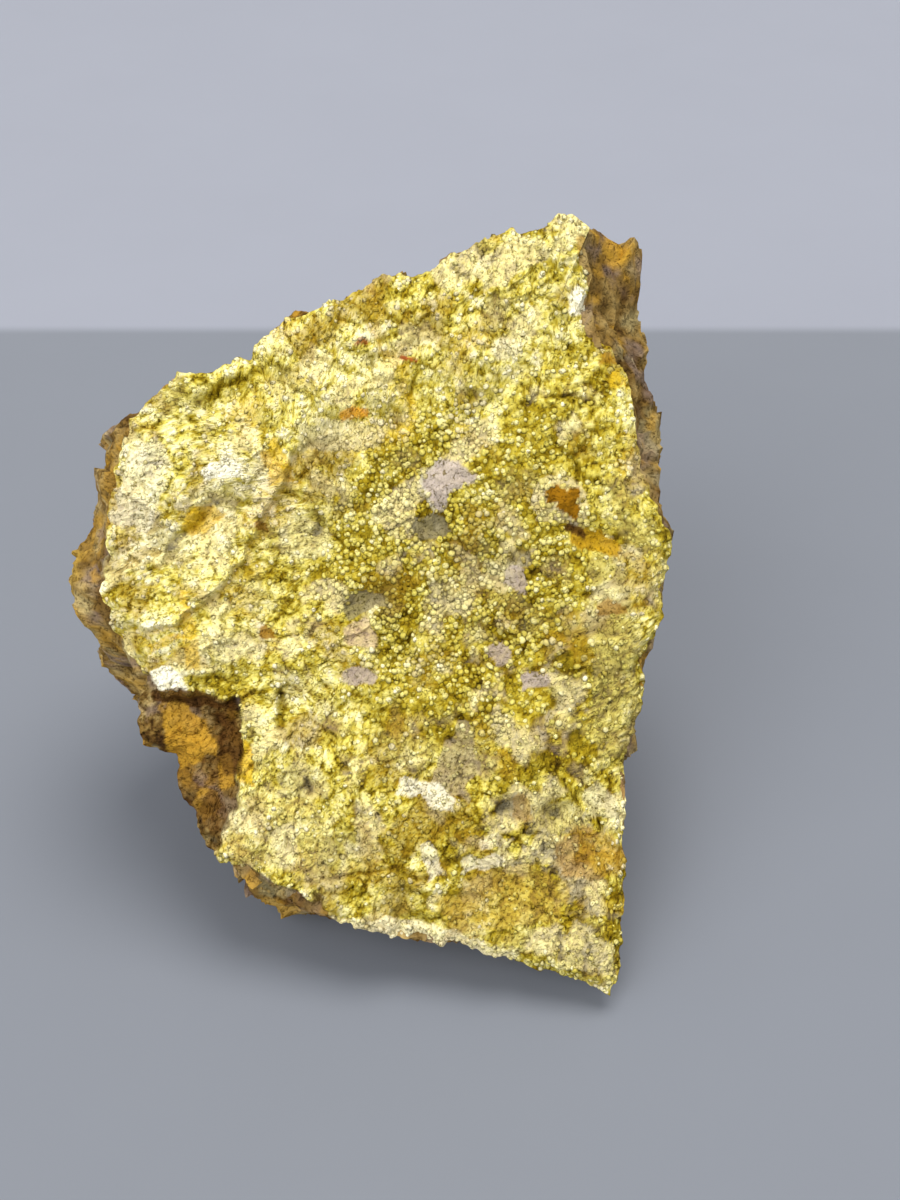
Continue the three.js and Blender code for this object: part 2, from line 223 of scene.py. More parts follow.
# From one size of plates to the next, the step in layers of noise and in seeds of
# cells; and how many layers further the noise lies that moves their edges upwards.
PLATE_LAYER_STEP = 7.0
PLATE_SEED_STEP = 10.0
PLATE_UP_LAYER = 31
# Knobs: spacing, height, seed of cells, and the least share of the height that a knob
# has. Its shape is this top less its middle's distance squared, in squares.
KNOB_SPACING = 1.5
KNOB_HEIGHT = 0.34
KNOB_SEED = 3.0
KNOB_LEAST = 0.5
KNOB_TOP = 0.45
GRIT_LAYER = 60.0
GRIT_SPACING = 0.9
GRIT_HEIGHT = 0.16
# Among granules: the shares of their relief and tone that plates lose, the knobs' share
# of height elsewhere and what is added to it there, and how much relief moves the tone,
# as painted shade low down and painted light high up.
PLATE_LOSS = 0.6
PLATE_TONE_LOSS = 0.4
KNOB_SHARE = 0.3
KNOB_GAIN = 0.9
RELIEF_PAINTED_SHADE = 0.3
# Fibres: layer of noise, height, length, width and slant.
FIBRE_LAYER = 2.0
FIBRE_HEIGHT = 0.16
FIBRE_LENGTH = 3.0
FIBRE_WIDTH = 0.42
FIBRE_SLANT = 0.35
# Blocks of the bare places: strength, layer and spacing of noise.
BARE_BLOCKS = (1.3, 80.0, 3.0)
# Flat chips of the limonite: spacing, height and tilt; then its sharp fine ridges and
# its grit, spacing and height, and the sideways shift of the grit's noise.
CHIPS = ((6.5, 0.7, 0.24), (2.6, 0.3, 0.24))
FLANK_RIDGES = (1.2, 0.3)
FLANK_GRIT = (0.9, 0.3)
FLANK_GRIT_SHIFT = 40
# Lumps of the flanks: place, reach and rise.
FLANK_LUMPS = (((-44, 15, -9), 7, 2.2), ((-20.5, -40.5, -9), 6, 1.2))
# How far behind the face the limonite's broad and fine shapes begin and are whole.
BROAD_BEHIND = (1, 8)
FINE_BEHIND = (0, 2)

# Grid cells along a side of the crust's square, of the back's square, which is also a
# quarter of the way round the flanks, and from the flanks' front to their back.
FACE_STEPS = 300
FLANK_SIDE_STEPS = 150
FLANK_DEPTH_STEPS = 100

# The crust's rim behind its edge: how far behind, and how far drawn in; then the
# spacing and height of its unevenness, and that noise's layers to a millimetre behind.
RIM = ((0.35, -0.1), (0.8, 0.0), (1.4, 0.15), (2.1, 0.5), (2.8, 1.4), (3.4, 3.0))
RIM_WOBBLE = (1.1, 0.35)
RIM_LAYERS = 3.0
# How deep behind the face the point lies where the crust's hidden back and the
# limonite's hidden front close.
HIDDEN_DEPTH = 9
# The limonite starts this far behind the crust's edge and this far inside it, which
# fades over this depth; its hidden front is drawn in to this share.
SEAM_DEPTH = 0.8
SEAM_INSET = 0.4
SEAM_WIDTH = 5
HIDDEN_FRONT = 0.9

# Granules are domes: rings of points (radius, height), a top and a bottom, how much
# each is stretched, and how bright its foot is beside its top, as painted shade.
DOME_SIDES = 6
DOME_RINGS = ((0.72, 0.62), (1.0, -0.1))
DOME_TOP = 0.95
DOME_BOTTOM = -0.6
DOME_STRETCH = (0.85, 1.2)
DOME_PAINTED_FOOT_SHADE = 0.08
# Where granules are scattered, how far from the crust's edge they keep, and the step
# along its outline that finds the edge.
FACE_SPAN_U = (-45, 30)
FACE_SPAN_V = (-51, 50)
EDGE_MARGIN = 0.1
LOOP_STEP = 0.004
# The face's mean radius, the step that measures its slope, the share of the slope that
# granules follow, how deep they sit in radii, and how much their tones and sizes vary.
MEAN_RADIUS = 40
NORMAL_STEP = 0.3
GRANULE_TILT = 0.6
GRANULE_SINK = 0.15
GRANULE_TONE_SPREAD = 0.08
GRANULE_SIZES = (0.85, 1.15)
# Clusters of beads and of pearls: layer and spacing of noise, and the levels where they
# begin and are whole.
BEAD_CLUSTERS = (20.0, 5.0, -0.2, 0.1)
PEARL_CLUSTERS = (90.0, 4.0, 0.2, 0.26)
# The share of beads outside clusters, and where granules aren't round; the share of
# pearls in clusters; that of crumbs, and how much of it round granules take.
LOOSE_BEADS = 0.55
FLAKY_BEADS = 0.2
PEARL_SHARE = 0.9
CRUMB_SHARE = 0.6
CRUMB_LOSS = 0.2
# Crumbs along the rim: how far inside the edge they begin and are whole, how far down
# the face, and their share above that.
RIM_REACH = (1.8, 0.6)
LOWER_RIM = (-20, -32)
RIM_SHARE = 0.3

# ---- colours ----

# Tones run from 0, the darkest, to 1. The crust's own, what the plateau adds, what the
# granules' ground takes away flaky and round, partly its own colour and partly painted
# shade among the granules, the painted shade that cracks take away, how strongly the
# plateau's ledge is golden at its foot, partly its own colour and partly painted shade,
# and how much the rim is moved.
CRUST_TONE = 0.69
PLATEAU_TONE = 0.12
FLAKY_HOLLOW = 0.23
ROUND_HOLLOW = 0.07
CRACK_PAINTED_SHADE = 0.4
LEDGE_GOLD_AND_SHADE = 0.45
RIM_TONE = -0.12
# How far inside its edge the plateau's paler tone begins and is whole, and where the
# ledge's foot is most golden with its painted shade, in its half widths.
PALE_EDGE = (-1, 1.5)
LEDGE_FOOT = -1
# The limonite's own tone, and how much its relief moves it, as painted shade in its
# hollows and painted light on its ridges.
LIMONITE_TONE = 0.56
FLANK_RELIEF_SHADE = 0.1
# Mottles: strength, layer and spacing of noise.
CRUST_MOTTLES = ((0.12, 3.0, 5.0), (0.25, 9.0, 1.3))
LIMONITE_MOTTLES = ((0.3, 5, 7.0), (0.55, 9, 1.6))

# Broad places of the face that are lighter or darker: place, half length and half
# width, turn and rise of tone. Partly the crust's own tone; those at (-12, 21) and
# (-36, -4) are painted light that lifts the shade below the plateau's ledge, and that
# at (-8.5, 32) is painted light in a crevice.
TONES_AND_PAINTED_LIGHT = (
    ((-23, 15), (8, 10), -20, 0.14), ((5, 32), (13, 9), 25, 0.1),
    ((-14, -8), (10, 10), 0, 0.05), ((21.5, 2), (3.5, 8), 0, 0.08),
    ((17.5, -43), (5, 5), 0, -0.16), ((-12, 21), (6, 2.5), 0, 0.15),
    ((-36, -4), (7, 4), 10, 0.1), ((4, -26), (16, 9), 0, -0.05),
    ((12.3, -31.8), (2.6, 1.6), 0, -0.1), ((1, 26), (8, 5), 0, 0.14),
    ((-8.5, 32), (4.5, 2.4), 0, 0.16), ((1.5, 39.5), (3.5, 5), 0, -0.14),
    ((-23.5, 20), (4, 3.5), 0, -0.16), ((-33.5, 12.5), (3, 2.5), 0, 0.16),
    ((-22, 12.3), (6, 2.5), 0, 0.1), ((-3.5, -7.3), (5.5, 3), 0, 0.22),
    ((11.5, -34), (8, 7), 0, -0.17), ((5.5, -27), (2.6, 2.4), 0, -0.25),
    ((16.5, -12.3), (3.5, 5), 0, -0.2), ((-19, -12.8), (3.4, 3), 0, 0.16),
    ((19, 27.5), (4, 3), 0, -0.1), ((-3.8, 12.4), (2.3, 2.2), 0, -0.2),
    ((16.5, -35), (4, 6), 0, -0.2), ((16, 46.5), (3, 2), 0, -0.1),
)

# Places of the face with a colour of their own, the later ones on the earlier ones:
# place, half length and half width, turn, colour and strength.
PATCHES = (
    ((20.5, -8), (3.2, 15), 4, "olive_grey", 0.3),
    ((-21.9, -29), (7, 6.7), 0, "cream", 0.12),
    ((-2.9, -42.6), (12, 1.8), -11, "cream", 0.6),
    ((-31, -20), (5.5, 8), 0, "dark_brown", 0.45),
    ((-38, 14), (3, 7), -20, "white", 0.45),
    ((-13.7, 20.3), (5.5, 2), 0, "pale_grey", 0.5),
    ((7, -37.5), (8, 4), 10, "gold_brown", 0.45),
    ((7.5, 42.5), (5, 2.5), 30, "cream", 0.35),
    ((-18.7, 7.7), (3.2, 3), 0, "pale_grey", 0.4),
    ((-18.5, -22.5), (3.2, 2.6), 0, "pale_grey", 0.35),
    ((14, -27.5), (4, 2), 0, "pale_grey", 0.35),
    ((2.5, 2.5), (4.5, 2.5), 0, "gold_brown", 0.3),
    ((-32.5, -7.3), (2.4, 1.2), 0, "gold_brown", 0.5),
    ((17.8, -32), (4.2, 3.6), 0, "orange_brown", 0.6),
    ((1, -20.5), (2.6, 5), -15, "mauve", 0.65),
    ((-21.5, 17), (1.7, 3.2), 10, "gold", 0.65),
    ((-31, 10.2), (2.6, 1.6), 40, "gold", 0.65),
    ((-25.5, -20.5), (1.1, 3.6), 0, "gold", 0.75),
    ((-0.9, 14.7), (3.6, 2.8), 40, "white", 0.45),
    ((-0.5, 15), (3.3, 2.5), 40, "lilac", 0.85),
    ((-2.2, 9), (2.4, 1.7), 15, "dark_grey", 0.75),
    ((-10.6, -0.3), (2.6, 1.6), 20, "dark_grey", 0.7),
    ((8.4, 2.5), (1.7, 1.3), -30, "lilac", 0.7),
    ((10.5, -10), (1.8, 1.3), 15, "lilac", 0.85),
    ((6.2, -7), (1.3, 1.9), 20, "lilac", 0.65),
    ((-11, -4.4), (1.9, 1.9), 0, "pink_grey", 0.6),
    ((-11.2, -9.4), (2.1, 1.3), -10, "lilac", 0.75),
    ((-28.4, 16), (2.6, 1.2), 10, "white", 0.9),
    ((-35.3, -9.8), (2.6, 1.5), -10, "white", 0.95),
    ((-33.2, -17), (2.9, 4.6), 20, "ochre", 0.8),
    ((-28, -21.8), (1.1, 2.6), 10, "ochre", 0.6),
    ((-30.5, -25.5), (1.4, 2), 30, "ochre", 0.5),
    ((-27.6, -17.5), (1.5, 5.5), 5, "dark_brown", 0.75),
    # A thin dark brown strip along the top of the bare corner: painted shadow under the crust's
    # broken edge.
    ((-32, -12.4), (5.8, 1), -5, "dark_brown", 0.9),
    ((-32.2, -4.5), (0.9, 5.5), 5, "gold", 0.55),
    ((-35.2, -5.2), (2.6, 0.7), 20, "gold", 0.55),
    ((-38.3, 5.6), (2.8, 1), 30, "gold_brown", 0.5),
    ((-29.5, -27), (1.6, 3), 20, "dark_brown", 0.7),
    ((16.2, 37.2), (1.4, 1.8), 0, "white", 0.85),
    ((16.8, 44.2), (1, 1.6), 0, "orange_brown", 0.8),
    ((20, 30.3), (1.4, 1), 0, "rust", 0.7),
    ((21, 27.4), (1, 1.2), 0, "gold", 0.6),
    ((-2.8, -24.1), (4, 1.5), -20, "white", 0.6),
    ((-2.3, -32.8), (1.4, 2.8), 20, "white", 0.5),
    ((3.8, -32.8), (2.9, 1.2), 10, "white", 0.45),
    ((5.6, -30.1), (2.3, 0.9), 0, "white", 0.3),
    ((19, -25.2), (2.1, 2.4), 0, "pale_grey", 0.6),
    ((8.9, -25.8), (1.2, 1.8), 0, "orange_brown", 0.5),
    ((6.9, 31.2), (2.2, 1.4), 20, "cream", 0.6),
    ((17, -43.7), (3.4, 3.4), 0, "cream", 0.3),
    ((18, 7.3), (3.3, 1.7), -15, "amber", 0.95),
    ((15.8, 9), (1.5, 0.9), -30, "dark_brown", 0.9),
    ((14, 12.3), (3.6, 3.2), 0, "cream", 0.35),
    ((13.3, 12.9), (1.3, 1.2), 0, "rust", 1),
    ((14.9, 11.6), (1.6, 1.2), -20, "rust", 1),
    ((15.2, 13.1), (0.9, 0.8), 0, "rust", 1),
    ((-12.2, 23), (1.8, 0.8), 15, "orange", 0.8),
    ((20.3, -1), (1.7, 1), 0, "rust", 0.7),
    ((-23, -4), (0.8, 0.9), 0, "rust", 0.85),
    ((-23.8, 9.4), (0.7, 0.7), 0, "rust", 0.85),
    ((-5.3, 30.2), (1.2, 0.4), -15, "red", 0.9),
    ((-11.2, 32), (0.8, 0.4), 0, "red", 0.8),
)

PALETTE = {
    "cream": (245, 234, 190), "white": (242, 236, 208), "pale_grey": (196, 188, 148),
    "gold": (206, 168, 34), "amber": (166, 130, 22), "gold_brown": (170, 140, 62),
    "orange": (214, 150, 40), "orange_brown": (156, 118, 40), "ochre": (178, 136, 42),
    "rust": (131, 90, 10), "red": (150, 70, 30), "brown": (136, 104, 24),
    "dark_brown": (84, 54, 20), "olive": (132, 116, 26), "olive_grey": (164, 156, 112),
    "dark_grey": (124, 117, 90), "mauve": (158, 143, 112), "lilac": (167, 152, 140),
    "pink_grey": (196, 172, 144), "purple_grey": (130, 114, 106),
}
# Patches of these colours carry no granules.
SMOOTH_PATCHES = ("lilac", "pink_grey", "rust", "gold", "amber", "dark_brown", "dark_grey")
# How ragged a patch's edge is, strength, layer and spacing of noise, where it fades,
# and where the granules round it end.
PATCH_FRAY = (0.32, 70.0, 2.0)
PATCH_EDGE = (0.9, 1.0)
BARE_GROUND_EDGE = (0.8, 1.0)
# How much less a patch shows for each unit of tone that what lies on it is raised by,
# and up to which rise.
RAISED_LOSS = 2
RAISED_LIMIT = 0.3
# Stains: colour, strength, the noise's level they start at, spacing and layer of noise;
# then how far above that level they are whole.
STAINS = (
    ("ochre", 0.3, 0.24, 7, 25.0), ("olive_grey", 0.26, 0.2, 6, 55.0),
    ("olive", 0.32, 0.22, 3.5, 75.0), ("cream", 0.36, 0.12, 4, 95.0),
    ("lilac", 0.24, 0.34, 4.5, 115.0), ("brown", 0.5, 0.16, 5, 135.0),
)
STAIN_FADE = 0.25
LIMONITE_STAINS = (
    ("ochre", 0.45, 0.16, 4, 30.0), ("purple_grey", 0.5, 0.1, 3.5, 60.0),
    ("olive_grey", 0.4, 0.18, 4.5, 90.0), ("dark_brown", 0.5, 0.25, 3, 120.0),
    ("ochre", 0.6, 0.3, 1.8, 150.0),
)
LIMONITE_STAIN_FADE = 0.22
# Coloured places of the limonite: place, reach, colour and strength; then their fray
# and fading edge.
FLANK_PATCHES = (
    ((21.5, 45.5, -6.5), 3.2, "ochre", 0.8), ((27.5, 41, -13), 4, "gold_brown", 0.6),
    ((20.5, 35.2, -2), 2, "ochre", 0.75), ((-44.8, 2, -3.5), 2.4, "dark_brown", 0.5),
    ((-44, -2.5, -3.5), 2.4, "dark_brown", 0.5), ((-50, 2, -12), 5, "gold_brown", 0.65),
    ((-25, -36.5, -3), 2, "ochre", 0.7), ((-19.5, -38, -3), 2.2, "dark_brown", 0.6),
    ((-22, -39.5, -8), 3, "ochre", 0.5),
)
FLANK_PATCH_FRAY = (0.5, 200, 2.5)
FLANK_PATCH_EDGE = (0.8, 1.0)
# The crust's and the limonite's colours by tone, from hollows to grains.
CRUST_TONES = (
    (0.0, (56, 40, 2)), (0.2, (110, 88, 6)), (0.4, (161, 140, 30)), (0.6, (203, 189, 86)),
    (0.8, (227, 216, 142)), (1.0, (241, 232, 188)),
)
LIMONITE_TONES = (
    (0.0, (50, 32, 12)), (0.25, (86, 61, 25)), (0.5, (121, 95, 46)), (0.75, (150, 126, 74)),
    (1.0, (186, 162, 108)),
)

# ---- camera and stage ----

# The camera's distance from the face in millimetres, the scale there, the picture's
# height in pixels and the sensor's size in millimetres.
CAMERA_DISTANCE = 250
PIXELS_PER_MM = 8
PICTURE_HEIGHT = 1200
SENSOR = 36
# The nearest that the camera sees, and the stage, in metres.
CLIP_START = 0.01
FLOOR_SIZE = 4
# How far back the floor's soft line lies and how wide it is, in millimetres.
FLOOR_LINE = 128
FLOOR_LINE_WIDTH = 4
FLOOR_COLOUR = (108, 112, 119)
FAR_FLOOR_COLOUR = (132, 135, 144)
LIGHT_TARGET = (0, 0, 0.03)
# Name, place, size, power and colour of each light.
LIGHTS = (
    ("overhead", (0.3, 0.22, 2.2), 1.5, 46, (1, 0.98, 0.95)),
    ("front_fill", (-0.75, -2.1, 1.5), 2.2, 32, (0.98, 0.98, 1)),
    ("left_fill", (-1.2, -1.4, 1.5), 2, 28, (0.97, 0.98, 1)),
)
AMBIENT_COLOUR = (0.95, 0.96, 1)
AMBIENT_STRENGTH = 0.7


# ---- noise ----

# What `pick` multiplies a point's numbers by, and what it multiplies their sine by.
PICK_FACTORS = (127.1, 311.7, 74.7)
PICK_SIZE = 43758.5453
# The sine and the cosine of the turn between the face's axes and the noise's.
AXES_TURN = (0.6, 0.8)
# The first layer's height, the shift from one to the next, and how many there are in
# most shapes, in sheets and grit, and in stains.
LAYER_HEIGHT = 0.6
LAYER_SHIFT = 17.3
DETAIL = 3
LOW_DETAIL = 2
HIGH_DETAIL = 4
# The factors that make a cell's own number from 0 to 1 a direction and a second such
# number, and the shifts that pick a cube's point and its own number.
OWN_TURN = 40
OWN_REMIX = 17.3
CUBE_SHIFTS = (0.2, 0.4, 0.6)
OWN_SHIFT = 0.8
# Further than any point is, in squares or cubes; and what keeps a division from 0.
FAR = 9.0
TINY = 1e-9
# The factors of a fragment's lower, upper right and upper left sides.
BLOCK_SIDES = (1.2, 0.8, 0.7)


def smooth(x):
    """An S-shaped step from 0 to 1: 3x² - 2x³."""
    x = np.clip(x, 0, 1)
    return x * x * (3 - 2 * x)


def ramp(x, low, high):
    """0 on one side of `low`, 1 past `high` on the other, and smooth between."""
    return smooth((x - low) / (high - low))


def at_least(least, share):
    """A share from 0 to 1 drawn up to run from the least one to 1."""
    return least + (1 - least) * share


def pick(i, j, k=0.0):
    """A number from 0 to 1 for each whole-number point: the fraction of a large sine."""
    by_i, by_j, by_k = PICK_FACTORS
    mixed = PICK_SIZE * np.sin(by_i * i + by_j * j + by_k * k)
    return mixed - np.floor(mixed)


def noise(x, y, z):
    """From -1 to 1: the picks at the eight corners around a point, blended smoothly."""
    low = [np.floor(x), np.floor(y), np.floor(z)]
    ease = [smooth(x - low[0]), smooth(y - low[1]), smooth(z - low[2])]
    total = 0.0
    for corner in itertools.product((0, 1), repeat=3):
        weight = 1.0
        for up, share in zip(corner, ease):
            weight = weight * (share if up else 1 - share)
        total = total + weight * pick(*[start + up for start, up in zip(low, corner)])
    return 2 * total - 1


def turned(u, v, w):
    """The same point on axes that are turned off the face's own, which keeps the
    noise's squares from showing."""
    sine, cosine = AXES_TURN
    across = cosine * u + sine * v
    up = cosine * v - sine * u
    return across, cosine * up + sine * w, cosine * w - sine * up


def rough(shape, u, v, w):
    """Noise of a spacing and a height."""
    spacing, height = shape
    x, y, z = turned(u, v, w)
    return height * noise(x / spacing, y / spacing, z / spacing)


def layers(u, v, w, spacing, count=DETAIL):
    """Noise at a spacing, plus half as much at half the spacing, and so on."""
    shapes = [(spacing / 2**n, LAYER_HEIGHT / 2**n) for n in range(count)]
    return sum(rough(shape, u + LAYER_SHIFT * n, v, w) for n, shape in enumerate(shapes))


def uneven(value, unevenness, u, v, w=0.0):
    """A value plus noise of a strength, layer and spacing."""
    strength, layer, spacing = unevenness
    return value + strength * layers(u, v, w + layer, spacing)


def patchy(u, v, layer, spacing, low, high):
    """1 in places that noise scatters over the face, 0 between them: how far the noise
    of a layer and a spacing has gone from one level to another."""
    return ramp(layers(u, v, layer, spacing), low, high)


def cells(u, v, spacing, seed):
    """Points scattered one to a square. For each place: the way from the nearest one
    in squares, how much further the next one lies, and the nearest one's own number
    from 0 to 1."""
    x, y = u / spacing, v / spacing
    i, j = np.floor(x), np.floor(y)
    nearest, second = np.full((2, *x.shape), FAR)
    from_x, from_y, own = np.zeros((3, *x.shape))
    for di, dj in itertools.product((-1, 0, 1), repeat=2):
        ci, cj = i + di, j + dj
        dx, dy = x - ci - pick(ci, cj, seed), y - cj - pick(ci, cj, seed + 1)
        away = np.hypot(dx, dy)
        closer = away < nearest
        second = np.where(closer, nearest, np.minimum(second, away))
        own = np.where(closer, pick(ci, cj, seed + 2), own)
        from_x, from_y = np.where(closer, dx, from_x), np.where(closer, dy, from_y)
        nearest = np.where(closer, away, nearest)
    return from_x, from_y, second - nearest, own


def own_slope(x, y, own):
    """How far a place lies from its cell's point, along that point's own direction."""
    return x * np.cos(OWN_TURN * own) + y * np.sin(OWN_TURN * own)


def chips(u, v, w, spacing):
    """Points scattered one to a cube. For each place: how far it lies from the nearest
    one along a way of that point's own, in cubes, and the point's own number from -0.5
    to 0.5. Together they make flat chips that tilt all ways."""
    place = np.stack(turned(u, v, w), -1) / spacing
    nearest = np.full(u.shape, FAR)
    slope, own = np.zeros((2, *u.shape))
    for step in itertools.product((-1, 0, 1), repeat=3):
        cube = np.floor(place) + step
        i, j, k = np.moveaxis(cube, -1, 0)
        away = place - cube - np.stack([pick(i, j, k + shift) for shift in CUBE_SHIFTS], -1)
        distance = np.linalg.norm(away, axis=-1)
        closer = distance < nearest
        number = pick(i, j, k + OWN_SHIFT)
        slope = np.where(closer, own_slope(away[..., 0], away[..., 1], number), slope)
        own = np.where(closer, number - 0.5, own)
        nearest = np.minimum(nearest, distance)
    return slope, own


# ---- outlines ----

def outline_point(outline, place):
    """The point at a place from 0 to 4, where whole numbers are the corners and each
    run is measured along its own length."""
    knots, us, vs = [], [], []
    for side, run in enumerate(outline):
        points = np.array(run, float)
        lengths = np.hypot(*np.diff(points, axis=0).T)
        along = np.concatenate([[0], np.cumsum(lengths)]) / lengths.sum()
        knots += list(side + along[:-1])
        us += list(points[:-1, 0])
        vs += list(points[:-1, 1])
    knots, us, vs = knots + [len(outline)], us + us[:1], vs + vs[:1]
    place = np.mod(place, len(outline))
    return np.stack([np.interp(place, knots, us), np.interp(place, knots, vs)], -1)


def unit(vectors):
    """Vectors drawn to length 1."""
    return vectors / np.linalg.norm(vectors, axis=-1, keepdims=True)


def crust_edge(place):
    """The crust's outline, roughened outwards as on the solid and a little finer."""
    edge = outline_point(CRUST_EDGE, place)
    outward = unit(edge - FACE_MIDDLE)
    u, v = edge[..., 0], edge[..., 1]
    push = sum(rough(shape, u, v, 0.0) for shape in (EDGE_ROUGHNESS, FINE_EDGE, FINEST_EDGE))
    return edge + outward * push[..., None]


def edge_place(a, b):
    """The place along the outline that a cell of a square grid from -1 to 1 lies
    towards: along the top, then down the right, back along the bottom and up."""
    ring = np.maximum(np.maximum(np.abs(a), np.abs(b)), TINY)
    place = 3 + (1 + b / ring) / 2
    place = np.where(b <= -ring, 2 + (1 - a / ring) / 2, place)
    place = np.where(a >= ring, 1 + (1 - b / ring) / 2, place)
    return np.where(b >= ring, (1 + a / ring) / 2, place)


def segment_distance(start, end, u, v):
    """The distance to a straight line between two points."""
    (u0, v0), (u1, v1) = start, end
    du, dv = u1 - u0, v1 - v0
    along = np.clip(((u - u0) * du + (v - v0) * dv) / (du * du + dv * dv), 0, 1)
    return np.hypot(u - u0 - along * du, v - v0 - along * dv)


def line_distance(points, u, v):
    """The distance to a line through a few points."""
    pieces = (segment_distance(start, end, u, v) for start, end in zip(points, points[1:]))
    return functools.reduce(np.minimum, pieces)


def depth_inside(outline, u, v):
    """The distance to an outline, above 0 inside it and below 0 outside. A place is
    inside if a line from it to the right crosses the outline an odd number of times."""
    corners = np.vstack([outline, outline[:1]])
    inside = np.zeros(np.shape(u), bool)
    for (u0, v0), (u1, v1) in zip(corners, corners[1:]):
        if v0 != v1:
            inside ^= ((v0 > v) != (v1 > v)) & (u < u0 + (v - v0) / (v1 - v0) * (u1 - u0))
    distance = line_distance(corners, u, v)
    return np.where(inside, distance, -distance)


def own_axes(u, v, at, size, turn):
    """How far along and across a turned place a point lies, in the place's half sizes."""
    angle = math.radians(turn)
    along = (u - at[0]) * math.cos(angle) + (v - at[1]) * math.sin(angle)
    across = (v - at[1]) * math.cos(angle) - (u - at[0]) * math.sin(angle)
    return along / size[0], across / size[1]


def oval(u, v, at, size, turn):
    """0 at a place and 1 on an oval of these half sizes round it."""
    return np.hypot(*own_axes(u, v, at, size, turn))


def fragment(u, v, at, size, turn):
    """0 at a place and 1 on the edge of an uneven six-sided block round it."""
    along, across = own_axes(u, v, at, size, turn)
    lower, upper_right, upper_left = BLOCK_SIDES
    slants = [upper_right * (along + across), upper_left * (across - along)]
    return np.max([along, -along, across, -lower * across, *slants], axis=0)


def swelled(base, places, u, v):
    """A base value plus a smooth bell at each place: its height times e to the minus
    oval squared."""
    for at, size, turn, rise in places:
        base = base + rise * np.exp(-oval(u, v, at, size, turn) ** 2)
    return base


# ---- the face ----

def shaken(u, v):
    """The same place shifted by up to about half a millimetre, which makes the lines
    of ledges and patches ragged."""
    across, up = [rough(RAGGED, u, v, layer) for layer in RAGGED_LAYERS]
    return u + across, v + up


def bareness(u, v):
    """1 where the crust has broken away from the limonite, at the lower left corner and
    along the lower left edge, and 0 on the crust."""
    spot = shaken(u, v)
    inside = np.maximum(depth_inside(BARE_PATCH, *spot), depth_inside(LOWER_BARE_PATCH, *spot))
    return ramp(uneven(inside, BARE_WANDER, u, v), -BARE_EDGE, BARE_EDGE)


def granularity(u, v):
    """1 where granules grow on the crust, falling to 0 where it is flaky."""
    return 1 - ramp(uneven(oval(u, v, *GRANULE_ZONE), GRANULE_FRAY, u, v), *GRANULE_FADE)


def roundness(u, v):
    """1 where the granules are whole and round, falling to 0 towards the right and the
    bottom, where they have grown into a fibrous crust."""
    return 1 - ramp(uneven(oval(u, v, *ROUND_ZONE), ROUND_FRAY, u, v), *ROUND_FADE)


def ledge_depth(u, v):
    """The distance inside the plateau's edge, in half widths of its ledge, which is
    steep in places and slopes gently in others, most of all at its upper end."""
    half_width = LEDGE_WIDTH + LEDGE_SPREAD * patchy(u, v, *GENTLE_PLACES)
    half_width = half_width + GENTLE_SPREAD * np.exp(-oval(u, v, *GENTLE_ZONE) ** 2)
    return depth_inside(PLATEAU, *shaken(u, v)) / half_width


def terraces(u, v):
    """Thin sheets of crust broken off one over another: noise that goes up in steps."""
    steps = TERRACE_COUNT * layers(*shaken(u, v), *TERRACE_NOISE, LOW_DETAIL)
    whole = np.floor(steps)
    step = ramp(steps - whole, 0.5 - TERRACE_STEP, 0.5 + TERRACE_STEP)
    return (whole + step) / TERRACE_COUNT


def cracks(u, v):
    """How deep the cracks and the feet of small ledges go at a place: a bell across
    each line, with its own half width and depth."""
    u, v = shaken(u, v)
    return sum(
        depth * np.exp(-(line_distance(line, u, v) / width) ** 2)
        for line, width, depth in CRACKS
    )


def plates(u, v):
    """Flat flakes with ragged edges, small ones on larger ones. Each lies at its own
    height, tilts its own way and has a narrow gap round it. Gives their relief and
    the tone they add: each plate's own, less painted shade in its gap."""
    relief, tone = 0.0, 0.0
    for number, (spacing, height, tilt, gap_depth, tone_spread) in enumerate(PLATES):
        ragged = (PLATE_EDGE[0] * spacing, PLATE_EDGE[1] * spacing)
        layer, seed = PLATE_LAYER_STEP * number, PLATE_SEED_STEP * number
        plate_u = u + rough(ragged, u, v, layer)
        plate_v = v + rough(ragged, u, v, layer + PLATE_UP_LAYER)
        from_x, from_y, beside, own = cells(plate_u, plate_v, spacing, seed)
        gap = np.exp(-(beside / GAP_WIDTH) ** 2)
        slope = tilt * spacing * own_slope(from_x, from_y, own)
        relief = relief + height * (own - 0.5) + slope - gap_depth * gap
        own_tone = 2 * (np.mod(own * OWN_REMIX, 1) - 0.5)
        # Each plate's own tone, less painted shade in the narrow gap round it.
        tone = tone + tone_spread * (own_tone - PLATE_GAP_SHADE * gap)
    return relief, tone


def fibres(u, v):
    """Fibres that lie side by side where the crust is fibrous: noise drawn out along
    them, which is several times as long as it is wide."""
    zone = functools.reduce(np.minimum, [oval(u, v, *place) for place in FIBRE_ZONES])
    along, across = u + FIBRE_SLANT * v, v - FIBRE_SLANT * u
    streaks = noise(along / FIBRE_LENGTH, across / FIBRE_WIDTH, u * 0 + FIBRE_LAYER)
    return FIBRE_HEIGHT * (1 - ramp(zone, *FIBRE_FADE)) * streaks


